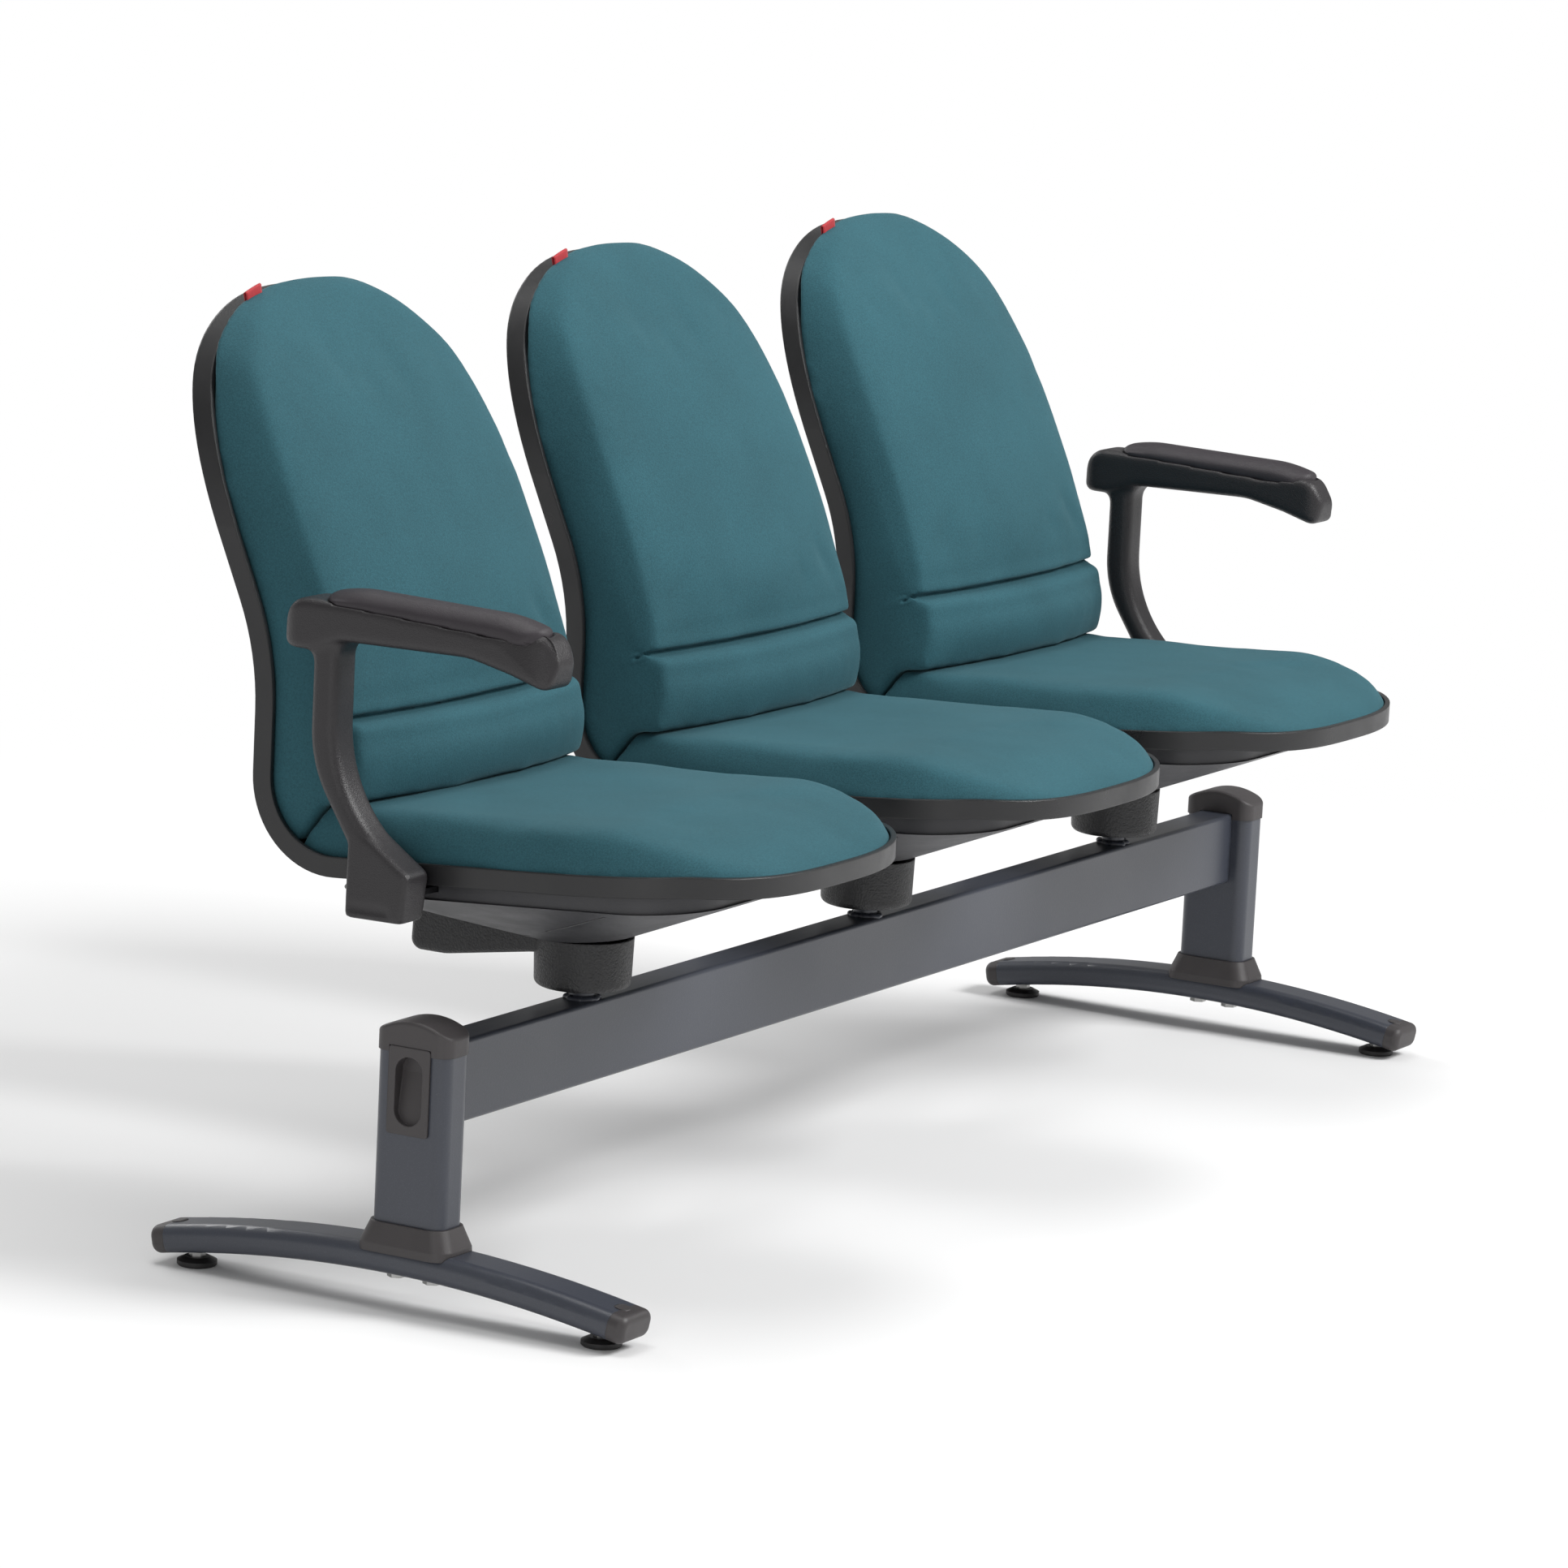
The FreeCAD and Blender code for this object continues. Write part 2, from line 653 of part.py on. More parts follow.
# The upright, let into the grip at its top and into the block at its foot
ARM_POST_CORNERS = [
    (58, 648, 11), (58, 623, 11), (101, 623, 18), (101, 468, 140), (28, 418.6, 12),
    (28, 384, 12), (70, 384, 12), (78, 421, 30), (130, 502, 120), (130, 612, 14),
    (159, 612, 11), (157, 648, 11),
]

# The block that grips the seat
ARM_BLOCK_CORNERS = [(83, 360, 5.5), (82, 440, 5.5), (60, 440, 5.5), (12, 407.6, 8), (17, 361, 5.5)]


def softened(solid, radius, half, centre):
    """Round the long outline edges of an extruded side view."""
    rims = []
    for edge in solid.Edges:
        bounds = edge.BoundBox
        flat = bounds.XMax - bounds.XMin < 0.01
        if flat and abs(abs(bounds.XMin - centre) - half) < 0.01:
            rims.append(edge)
    return solid.makeFillet(radius, rims)


def side_view_solid(corners, width, centre):
    wire = rounded_polygon(corners)
    wire.translate(Vector(centre - width / 2, 0, 0))
    return Part.Face(wire).extrude(Vector(width, 0, 0))


def make_grip(centre):
    """Grip, round at both ends from above, with all its long edges soft."""
    solid = side_view_solid(ARM_TOP_CORNERS, ARM_TOP_WIDTH + 8, centre)
    middle = (GRIP_FRONT_Y + GRIP_REAR_Y) / 2
    plan = rounded_block(ARM_TOP_WIDTH / 2, (GRIP_REAR_Y - GRIP_FRONT_Y) / 2, ARM_TOP_WIDTH / 2 - 0.1,
                         centre, middle, 580, 700)
    grip = solid.common(plan)
    rims = [edge for edge in grip.Edges if not plan_edge(edge) and not cross_edge(edge)]
    return grip.makeFillet(GRIP_EDGE, rims)


def plan_edge(edge):
    """An upright edge of the plan outline."""
    bounds = edge.BoundBox
    return bounds.XMax - bounds.XMin < 0.01 and bounds.YMax - bounds.YMin < 0.01


def cross_edge(edge):
    """A tangent seam that runs straight across the grip."""
    bounds = edge.BoundBox
    return bounds.YMax - bounds.YMin < 0.01 and bounds.ZMax - bounds.ZMin < 0.01


def make_arm(side):
    centre = side * ARM_CENTRE
    pieces = [make_grip(centre)]
    for corners, radius in ((ARM_POST_CORNERS, 10.0), (ARM_BLOCK_CORNERS, 5.0)):
        solid = side_view_solid(corners, ARM_POST_WIDTH, centre)
        pieces.append(softened(solid, radius, ARM_POST_WIDTH / 2, centre))
    arm = fuse_all(pieces)
    recess_x = sorted((centre + side * (ARM_POST_WIDTH / 2 - 2.0), centre + side * 40.0))
    recess = box(recess_x[0], recess_x[1], 32, 78, 366, 376)
    arm = arm.cut(recess).cut(make_arm_pad(side))
    return largest(arm.cut(arm_bracket_blank(side)).cut(shell_sides(side)))


def shell_sides(side):
    """Room for the rim that the arm block hugs."""
    x0, x1 = sorted((side * 150.0, side * (SHELL_HALF + 0.4)))
    return box(x0, x1, -60, 260, 340, 700)


def make_arm_pad(side):
    """Soft pad let into the top of the grip: crowned across, round at both ends."""
    centre = side * ARM_CENTRE
    crown = Vector(0, PAD_CROWN[1][0] - PAD_CROWN[0][0], PAD_CROWN[1][1] - PAD_CROWN[0][1])
    start = Vector(centre, PAD_CROWN[0][0], PAD_CROWN[0][1] - PAD_RADIUS)
    round_top = Part.makeCylinder(PAD_RADIUS, crown.Length, start, crown)
    slab = side_view_solid(PAD_CORNERS, 70.0, centre)
    front, rear = PAD_ENDS
    plan = rounded_block(PAD_HALF_WIDTH, (rear - front) / 2, PAD_HALF_WIDTH - 0.1,
                         centre, (front + rear) / 2, 600, 700)
    return largest(round_top.common(slab).common(plan))


def make_arm_screws(side):
    screws = []
    for x in (62.0, 82.0):
        low = -PLATE_THICKNESS - BRACKET_THICKNESS
        head = Part.makeCone(4.2, 6.0, 3.6, Vector(side * x, BRACKET_Y - BEAM_Y, low - 3.6))
        shank = cylinder(6.0, side * x, BRACKET_Y - BEAM_Y, low, -PLATE_THICKNESS)
        screws.append(tilted(head.fuse(shank)))
    return screws


# Beam and legs

def beam_bolt_heights():
    middle = BEAM_TOP - BEAM_HEIGHT / 2
    return (middle - 20.0, middle + 20.0)


def make_beam():
    middle_z = BEAM_TOP - BEAM_HEIGHT / 2
    length = 2 * (POST_IN - END_PLATE)

    def section(half_y, half_z, radius, run):
        wire = rounded_rectangle(half_z, half_y, radius, 0, 0, 0)
        solid = prism(wire, run)
        solid.rotate(Vector(0, 0, 0), Vector(0, 1, 0), 90)
        solid.translate(Vector(-run / 2, BEAM_Y, middle_z))
        return solid

    outer = section(BEAM_DEPTH / 2, BEAM_HEIGHT / 2, 4.0, length)
    inner = section(BEAM_DEPTH / 2 - BEAM_WALL, BEAM_HEIGHT / 2 - BEAM_WALL, 1.5, length)
    pieces = [outer.cut(inner)]
    for side in (-1, 1):
        x0, x1 = sorted((side * (POST_IN - END_PLATE), side * POST_IN))
        plate = section(BEAM_DEPTH / 2, BEAM_HEIGHT / 2, 4.0, END_PLATE)
        plate.translate(Vector((x0 + x1) / 2, 0, 0))
        pieces.append(plate)
        for z in beam_bolt_heights():
            start = x0 - 9 if side > 0 else x1
            pieces.append(x_cylinder(18.0, start, start + 9, BEAM_Y, z))
    beam = fuse_all(pieces)
    bores = []
    for side in (-1, 1):
        x0, x1 = sorted((side * (POST_IN - 30), side * (POST_IN + 1)))
        bores += [x_cylinder(10.0, x0, x1, BEAM_Y, z) for z in beam_bolt_heights()]
    return beam.cut(fuse_all(bores))


def make_seat_stub(x):
    """Turned pin with its taper, and the weld bead that holds it on the beam."""
    pin = cylinder(STUB_DIAMETER, x, BEAM_Y, BEAM_TOP, STUB_TAPER_FROM)
    bead = Part.makeCone(STUB_DIAMETER / 2 + 4, STUB_DIAMETER / 2, 4.5, Vector(x, BEAM_Y, BEAM_TOP))
    return fuse_all([pin, bead, stub_taper(x, STUB_TOP)])


def make_beam_bolts():
    bolts = []
    for side in (-1, 1):
        for z in beam_bolt_heights():
            seat_x = side * (POST_IN + POST_WALL)
            tip_x = side * (POST_IN - 22)
            head = hexagon(17.0, Vector(seat_x, BEAM_Y, z), Vector(side, 0, 0), 7.0)
            x0, x1 = sorted((tip_x, seat_x))
            bolts.append(head.fuse(x_cylinder(10.0, x0, x1, BEAM_Y, z)))
    return bolts


def foot_section(shrink):
    """Upright rounded section of the foot at the crown of the arch."""
    half_y = FOOT_WIDTH / 2 - shrink
    half_z = FOOT_HEIGHT / 2 - shrink
    wire = rounded_rectangle(half_y, half_z, FOOT_CORNER - shrink, 0, 0, 0)
    wire.rotate(Vector(0, 0, 0), Vector(1, 0, 0), 90)
    wire.translate(Vector(0, 0, FOOT_TOP - FOOT_HEIGHT / 2))
    return wire


def foot_arc(shrink, y0, y1):
    """Part of the arched bar between two distances from its middle."""
    centre = Vector(0, 0, FOOT_TOP - FOOT_ARCH_RADIUS)
    middle_radius = FOOT_ARCH_RADIUS - FOOT_HEIGHT / 2
    start = math.degrees(math.asin(y0 / middle_radius))
    sweep = math.degrees(math.asin(y1 / middle_radius)) - start
    face = Part.Face(foot_section(shrink))
    face.rotate(centre, Vector(1, 0, 0), -start)
    return face.revolve(centre, Vector(-1, 0, 0), sweep)


def foot_bolt_places():
    return (BEAM_Y - 20.0, BEAM_Y + 20.0)


def make_foot_bar(x):
    bar = foot_arc(0, -FOOT_BAR_HALF, FOOT_BAR_HALF)
    bar = bar.cut(foot_arc(FOOT_WALL, -FOOT_BAR_HALF - 1, FOOT_BAR_HALF + 1))
    holes = [cylinder(10.6, 0, y, 20, 90) for y in foot_bolt_places()]
    holes += [cylinder(18.0, 0, sy * GLIDE_Y, 5, 30) for sy in (-1, 1)]
    bar = bar.cut(fuse_all(holes))
    return moved(bar, x, 0, 0)


def make_foot_cap(x, side):
    """Moulded end of the foot: a rounded nose with a plug that fills the bar."""
    y0, y1 = sorted((side * FOOT_BAR_HALF, side * FOOT_TIP_HALF))
    nose = foot_arc(0, y0, y1)
    tip = [edge for edge in nose.Edges if side * edge.CenterOfMass.y > FOOT_TIP_HALF - 3]
    nose = nose.makeFillet(8.0, tip)
    y2, y3 = sorted((side * (FOOT_BAR_HALF - 8), side * (FOOT_BAR_HALF + 2)))
    plug = foot_arc(FOOT_WALL + 0.1, y2, y3)
    tongue = cylinder(16.0, 0, side * FOOT_BAR_HALF, 20, 41.2)
    tongue = tongue.common(foot_arc(-0.8, *sorted((side * (FOOT_BAR_HALF - 12), side * FOOT_TIP_HALF))))
    tongue = tongue.cut(foot_arc(0, *sorted((side * (FOOT_BAR_HALF - 14), side * FOOT_TIP_HALF))))
    return moved(largest(fuse_all([nose, plug, tongue])), x, 0, 0)


def make_leg_post(x, bar):
    """Rounded tube with a welded foot plate, bolted to the beam and the foot."""
    y = BEAM_Y
    out = 1 if x > 0 else -1
    half_x, half_y = POST_WIDTH / 2, POST_DEPTH / 2
    tube = rounded_block(half_x, half_y, POST_RADIUS, x, y, FOOT_TOP - 6, POST_TOP)
    hollow = rounded_block(half_x - POST_WALL, half_y - POST_WALL, POST_RADIUS - POST_WALL, x, y,
                           FOOT_TOP + 8, POST_TOP + 1)
    post = tube.cut(hollow)
    window_x = sorted((x + out * (half_x - POST_WALL - 1), x + out * (half_x + 1)))
    window = box(window_x[0], window_x[1], y - 19, y + 19, POCKET_Z - 38, POCKET_Z + 38)
    holes = [cylinder(10.0, x, hole_y, 40, FOOT_TOP + 12) for hole_y in foot_bolt_places()]
    for z in beam_bolt_heights():
        x0, x1 = sorted((x - out * (half_x + 1), x - out * (half_x - POST_WALL - 1)))
        holes.append(x_cylinder(10.6, x0, x1, y, z))
    return post.cut(fuse_all([window] + holes)).cut(bar)


def make_bolt_pocket(x):
    """Moulded access cover: a bezel with an obround pocket and a slanted floor."""
    out = 1 if x > 0 else -1
    face_x = x + out * POST_WIDTH / 2
    depth, proud = 13.0, 2.2
    slot_half_y, slot_half_z, wall = 15.0, 33.0, 1.8

    def along_x(wire, length):
        solid = prism(wire, length)
        solid.rotate(Vector(0, 0, 0), Vector(0, 1, 0), 90 * out)
        return solid

    bezel = along_x(rounded_rectangle(POCKET_HALF_Z, POCKET_HALF_Y, 3.0, 0, 0, 0), proud)
    tub = rounded_rectangle(slot_half_z + wall, slot_half_y + wall, slot_half_y + wall - 0.1, 0, 0, -depth)
    tub = along_x(tub, depth)
    slot = rounded_rectangle(slot_half_z, slot_half_y, slot_half_y - 0.1, 0, 0, 2.0 - depth)
    slot = along_x(slot, depth + proud)
    lean = Part.makePolygon([
        Vector(-out * depth, -20, -36), Vector(-out * 3.0, -20, -36),
        Vector(-out * depth, -20, 30), Vector(-out * depth, -20, -36),
    ])
    floor_wedge = Part.Face(lean).extrude(Vector(0, 40, 0))
    floor_wedge = floor_wedge.common(tub)
    pocket = fuse_all([bezel, tub]).cut(slot).fuse(floor_wedge).removeSplitter()
    return moved(largest(pocket), face_x, BEAM_Y, POCKET_Z)


def make_post_cap(x, beam_space):
    """Arched cap whose skirt slips over the top of the post."""
    half_x, half_y = POST_WIDTH / 2 + 1.6, POST_DEPTH / 2 + 1.6
    skirt_z, edge_z, crown_z = 249.0, 266.0, 280.0
    blank = rounded_block(half_x, half_y, POST_RADIUS + 1.5, x, BEAM_Y, skirt_z, crown_z + 2)
    front, rear = BEAM_Y - half_y - 1, BEAM_Y + half_y + 1
    edges = [
        line((0, front, skirt_z), (0, front, edge_z)),
        arc((0, front, edge_z), (0, BEAM_Y, crown_z), (0, rear, edge_z)),
        line((0, rear, edge_z), (0, rear, skirt_z)),
        line((0, rear, skirt_z), (0, front, skirt_z)),
    ]
    wire = Part.Wire(edges)
    wire.translate(Vector(x - half_x - 1, 0, 0))
    cap = blank.common(Part.Face(wire).extrude(Vector(2 * half_x + 2, 0, 0)))
    rim = [edge for edge in cap.Edges if edge.BoundBox.ZMin > edge_z - 0.6]
    cap = cap.makeFillet(4.0, rim)
    socket = rounded_block(POST_WIDTH / 2, POST_DEPTH / 2, POST_RADIUS, x, BEAM_Y, skirt_z - 1, POST_TOP)
    bezel_out = 1 if x > 0 else -1
    bezel_x = sorted((x + bezel_out * POST_WIDTH / 2, x + bezel_out * (half_x + 2)))
    bezel_room = box(bezel_x[0], bezel_x[1], BEAM_Y - POCKET_HALF_Y - 0.2, BEAM_Y + POCKET_HALF_Y + 0.2,
                     skirt_z - 1, POCKET_Z + POCKET_HALF_Z + 0.2)
    return largest(cap.cut(socket).cut(beam_space).cut(bezel_room))


def make_base_collar(x, bar):
    """Flared moulding that hides the joint between post and foot."""
    top = rounded_rectangle(POST_WIDTH / 2 + 3, POST_DEPTH / 2 + 3, POST_RADIUS + 3, x, BEAM_Y, 84)
    flare = rounded_rectangle(31, 51, 18, x, BEAM_Y, 64)
    foot = rounded_rectangle(31.5, 51.5, 18, x, BEAM_Y, 56)
    collar = Part.makeLoft([foot, flare, top], True, True)
    inside = rounded_block(POST_WIDTH / 2, POST_DEPTH / 2, POST_RADIUS, x, BEAM_Y, 40, 90)
    return largest(collar.cut(inside).cut(bar))


def make_foot_bolts(bars):
    bolts = []
    for side, bar in bars:
        x = side * LEG_SPACING / 2
        for y in foot_bolt_places():
            seat_z = FOOT_TOP - FOOT_HEIGHT - y * y / (2 * (FOOT_ARCH_RADIUS - FOOT_HEIGHT)) - 0.4
            head = hexagon(16.0, Vector(x, y, seat_z - 6), Vector(0, 0, 1), 8.0).cut(bar)
            shank = cylinder(9.9, x, y, seat_z - 3, FOOT_TOP + 11)
            bolts.append(largest(largest(head).fuse(shank)))
    return bolts


def make_glide_insert(x, side):
    """Threaded bush welded in the underside of the foot."""
    y = side * GLIDE_Y
    bush = cylinder(18.0, x, y, GLIDE_STOP_Z, 27.0)
    return bush.cut(cylinder(GLIDE_THREAD + 0.5, x, y, 0, 60))


def make_glide_pad(x, side):
    """Round foot with a bevelled top and a socket for the stem."""
    radius = GLIDE_DIAMETER / 2
    rim_top = 5.5
    foot = Part.makeCone(radius - 1.5, radius, 1.5)
    side_wall = Part.makeCylinder(radius, rim_top - 1.5, Vector(0, 0, 1.5))
    top = Part.makeCone(radius, radius - 7, GLIDE_THICKNESS - rim_top, Vector(0, 0, rim_top))
    pad = fuse_all([foot, side_wall, top]).cut(cylinder(GLIDE_THREAD, 0, 0, 4.0, 20))
    return moved(pad, x, side * GLIDE_Y, 0)


def make_glide_stem(x, side):
    """Threaded stem with its hexagon, pressed into the pad."""
    y = side * GLIDE_Y
    nut = hexagon(14.0, Vector(x, y, GLIDE_THICKNESS), Vector(0, 0, 1), GLIDE_STOP_Z - GLIDE_THICKNESS - 0.1)
    return nut.fuse(cylinder(GLIDE_THREAD, x, y, 4.0, 37.0)).removeSplitter()


def moved(shape, x, y, z):
    placed = shape.copy()
    placed.translate(Vector(x, y, z))
    return placed


# Assembly

def seat_places():
    first = -SEAT_PITCH * (SEAT_COUNT - 1) / 2
    return [first + SEAT_PITCH * index for index in range(SEAT_COUNT)]


def build_seats(nodes):
    shell, pan = make_seat_shell(), make_inner_pan()
    seat = make_seat_cushion()
    back = make_back_cushion(seat)
    plate, boss = make_mount_plate(), make_boss_housing()
    tag = make_back_tag()
    back = largest(back.cut(shell).cut(tag))
    seat = largest(seat.cut(shell))
    screws, tags = [], []
    for number, x in enumerate(seat_places(), start=1):
        bracket_side = {1: -1, SEAT_COUNT: 1}.get(number, 0)
        plate_here = plate
        if bracket_side:
            holes = [tilted(cylinder(6.4, bracket_side * hx, BRACKET_Y - BEAM_Y, -6, 3)) for hx in (62.0, 82.0)]
            plate_here = plate.cut(fuse_all(holes))
        own = {
            "seat_shell": shell,
            "inner_pan": pan,
            "back_cushion": back,
            "seat_cushion": seat,
            "mount_plate": plate_here,
            "under_cover": make_under_cover(bracket_side),
            "boss_housing": boss,
            "seat_stub": make_seat_stub(0),
        }
        for name, shape in own.items():
            nodes["%s_%d" % (name, number)] = [moved(shape, x, 0, 0)]
        screws += [moved(screw, x, 0, 0) for screw in make_plate_screws()]
        tags.append(moved(tag, x, 0, 0))
    nodes["plate_screws"] = screws
    nodes["back_tags"] = tags


def build_arms(nodes):
    outer_seat = seat_places()[-1]
    screws = []
    for side, word in ((-1, "left"), (1, "right")):
        x = side * outer_seat
        nodes["arm_%s" % word] = [moved(make_arm(side), x, 0, 0)]
        nodes["arm_pad_%s" % word] = [moved(make_arm_pad(side), x, 0, 0)]
        nodes["arm_bracket_%s" % word] = [moved(make_arm_bracket(side), x, 0, 0)]
        screws += [moved(screw, x, 0, 0) for screw in make_arm_screws(side)]
    nodes["arm_screws"] = screws


def build_legs(nodes):
    nodes["beam_tube"] = [make_beam()]
    nodes["beam_bolts"] = make_beam_bolts()
    beam_space = box(-POST_IN - 0.2, POST_IN + 0.2, BEAM_Y - BEAM_DEPTH / 2 - 0.2,
                     BEAM_Y + BEAM_DEPTH / 2 + 0.2, 100, BEAM_TOP + 0.2)
    inserts, bars = [], []
    for side, word in ((-1, "left"), (1, "right")):
        x = side * LEG_SPACING / 2
        outer_bar = moved(foot_arc(0, -FOOT_BAR_HALF, FOOT_BAR_HALF), x, 0, 0)
        bars.append((side, outer_bar))
        nodes["foot_bar_%s" % word] = [make_foot_bar(x)]
        nodes["leg_post_%s" % word] = [make_leg_post(x, outer_bar)]
        nodes["post_cap_%s" % word] = [make_post_cap(x, beam_space)]
        nodes["bolt_pocket_%s" % word] = [make_bolt_pocket(x)]
        nodes["base_collar_%s" % word] = [make_base_collar(x, outer_bar)]
        for end, end_word in ((-1, "front"), (1, "rear")):
            nodes["foot_cap_%s_%s" % (word, end_word)] = [make_foot_cap(x, end)]
            nodes["glide_pad_%s_%s" % (word, end_word)] = [make_glide_pad(x, end)]
            nodes["glide_stem_%s_%s" % (word, end_word)] = [make_glide_stem(x, end)]
            inserts.append(make_glide_insert(x, end))
    nodes["glide_inserts"] = inserts
    nodes["foot_bolts"] = make_foot_bolts(bars)


def export(nodes):
    os.makedirs("parts", exist_ok=True)
    for name, solids in nodes.items():
        shape = solids[0] if len(solids) == 1 else Part.makeCompound(solids)
        shape = moved(shape, 0, SHIFT_Y, 0)
        shape.exportStep("parts/%s.step" % name)


def main():
    nodes = {}
    build_seats(nodes)
    build_arms(nodes)
    build_legs(nodes)
    export(nodes)


main()
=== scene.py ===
import json
import math
import bmesh
import bpy
import numpy as np
from mathutils import Matrix, Vector, noise
from mathutils.bvhtree import BVHTree


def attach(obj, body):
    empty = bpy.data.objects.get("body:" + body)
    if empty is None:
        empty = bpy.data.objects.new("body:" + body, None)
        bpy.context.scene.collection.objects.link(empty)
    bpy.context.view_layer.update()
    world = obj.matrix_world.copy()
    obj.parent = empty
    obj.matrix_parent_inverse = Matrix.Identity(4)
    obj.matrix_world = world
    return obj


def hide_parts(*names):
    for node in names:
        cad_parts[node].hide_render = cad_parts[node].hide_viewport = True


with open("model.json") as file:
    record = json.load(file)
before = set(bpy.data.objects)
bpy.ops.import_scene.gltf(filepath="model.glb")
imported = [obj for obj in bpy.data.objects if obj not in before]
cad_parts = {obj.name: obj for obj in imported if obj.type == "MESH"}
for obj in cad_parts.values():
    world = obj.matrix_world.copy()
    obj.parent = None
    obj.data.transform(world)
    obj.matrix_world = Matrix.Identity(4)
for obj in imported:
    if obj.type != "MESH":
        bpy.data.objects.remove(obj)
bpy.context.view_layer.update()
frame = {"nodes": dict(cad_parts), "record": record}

SEAT_PITCH = 0.560
SEAT_X = [-SEAT_PITCH, 0.0, SEAT_PITCH]
SHIFT_Y = -0.02785
BEAM_Y = -0.020 + SHIFT_Y


# Materials

class Shader:
    """A material's node tree with short calls for the nodes used here."""

    def __init__(self, name, colour, roughness, metallic=0.0, bevel=0.0):
        self.material = bpy.data.materials.new(name)
        self.material.use_nodes = True
        self.tree = self.material.node_tree
        self.surface = self.tree.nodes["Principled BSDF"]
        self.surface.inputs["Base Color"].default_value = (*colour, 1)
        self.surface.inputs["Roughness"].default_value = roughness
        self.surface.inputs["Metallic"].default_value = metallic
        self.coords = self.tree.nodes.new("ShaderNodeTexCoord").outputs["Object"]
        self.normal = None
        if bevel:
            node = self.add("ShaderNodeBevel", Radius=bevel)
            node.samples = 4
            self.normal = node.outputs["Normal"]

    def add(self, kind, **values):
        node = self.tree.nodes.new(kind)
        for key, value in values.items():
            self.set(node.inputs[key.replace("_", " ")], value)
        return node

    def set(self, socket, value):
        if isinstance(value, bpy.types.NodeSocket):
            self.tree.links.new(value, socket)
        else:
            socket.default_value = value

    def stretched(self, scale):
        node = self.add("ShaderNodeMapping", Vector=self.coords, Scale=scale)
        return node.outputs["Vector"]

    def noise(self, scale, detail=2.0, rough=0.5, vector=None):
        node = self.add("ShaderNodeTexNoise", Vector=vector or self.coords, Scale=scale,
                        Detail=detail, Roughness=rough)
        return node.outputs["Fac"]

    def cells(self, scale, feature="F1", vector=None):
        node = self.add("ShaderNodeTexVoronoi", Vector=vector or self.coords, Scale=scale)
        node.feature = feature
        return node.outputs["Distance"]

    def ramp(self, factor, *stops):
        node = self.add("ShaderNodeValToRGB", Fac=factor)
        elements = node.color_ramp.elements
        while len(elements) < len(stops):
            elements.new(0.5)
        for element, (place, colour) in zip(elements, stops):
            element.position = place
            element.color = (*colour, 1) if len(colour) == 3 else (colour[0],) * 3 + (1,)
        return node.outputs["Color"]

    def math(self, operation, a, b=0.0):
        node = self.tree.nodes.new("ShaderNodeMath")
        node.operation = operation
        self.set(node.inputs[0], a)
        self.set(node.inputs[1], b)
        return node.outputs[0]

    def mix(self, factor, a, b, blend="MIX"):
        node = self.tree.nodes.new("ShaderNodeMix")
        node.data_type = "RGBA"
        node.blend_type = blend
        self.set(node.inputs["Factor"], factor)
        self.set(node.inputs["A"], a)
        self.set(node.inputs["B"], b)
        return node.outputs["Result"]

    def bump(self, height, strength, distance):
        node = self.add("ShaderNodeBump", Height=height, Strength=strength, Distance=distance)
        if self.normal is not None:
            self.tree.links.new(self.normal, node.inputs["Normal"])
        self.normal = node.outputs["Normal"]

    def finish(self, colour=None, roughness=None, **constants):
        if colour is not None:
            self.tree.links.new(colour, self.surface.inputs["Base Color"])
        if roughness is not None:
            self.tree.links.new(roughness, self.surface.inputs["Roughness"])
        if self.normal is not None:
            self.tree.links.new(self.normal, self.surface.inputs["Normal"])
        for key, value in constants.items():
            self.surface.inputs[key.replace("_", " ")].default_value = value
        return self.material


def shade(colour, factor):
    return tuple(channel * factor for channel in colour)


def fabric_material():
    """Fine crepe weave: pale and dark threads in small grains, with a soft nap."""
    base = (0.027, 0.098, 0.122)
    s = Shader("teal_fabric", base, 0.85)
    grain = s.noise(520, 3, 0.7)
    thread = s.noise(1500, 2, 0.6)
    speck = s.mix(0.45,
                  s.ramp(grain, (0.30, (0.0,)), (0.72, (1.0,))),
                  s.ramp(thread, (0.25, (0.0,)), (0.75, (1.0,))))
    colour = s.mix(speck, (*shade(base, 0.66), 1), (*shade(base, 1.34), 1))
    cloud = s.ramp(s.noise(9, 3), (0.3, (0.90,)), (0.7, (1.06,)))
    colour = s.mix(1.0, colour, cloud, "MULTIPLY")
    s.bump(grain, 0.35, 0.0009)
    s.bump(thread, 0.30, 0.0005)
    return s.finish(colour, Sheen_Weight=0.16, Sheen_Roughness=0.40,
                    Sheen_Tint=(0.45, 0.72, 0.78, 1), Specular_IOR_Level=0.25)


def ribbon_material():
    base = (0.42, 0.012, 0.020)
    s = Shader("red_ribbon", base, 0.6)
    ribs = s.noise(1.0, 1, 0.5, s.stretched((2600, 300, 300)))
    colour = s.mix(ribs, (*shade(base, 0.75), 1), (*shade(base, 1.2), 1))
    s.bump(ribs, 0.4, 0.0004)
    return s.finish(colour, Sheen_Weight=0.2, Specular_IOR_Level=0.4)


def plastic_material(name, colour, roughness, grain, depth, bevel):
    """Moulded plastic: spark-eroded grain, and slow change of gloss over the face."""
    spread = 0.10
    s = Shader(name, colour, roughness, bevel=bevel)
    pits = s.noise(grain, 3, 0.65)
    cloud = s.noise(14, 4, 0.6)
    tone = s.mix(cloud, (*shade(colour, 0.80), 1), (*shade(colour, 1.22), 1))
    low, high = max(roughness - spread, 0.05), min(roughness + spread, 1.0)
    gloss = s.ramp(cloud, (0.30, (low,)), (0.70, (high,)))
    s.bump(pits, 0.5, depth)
    return s.finish(tone, gloss)


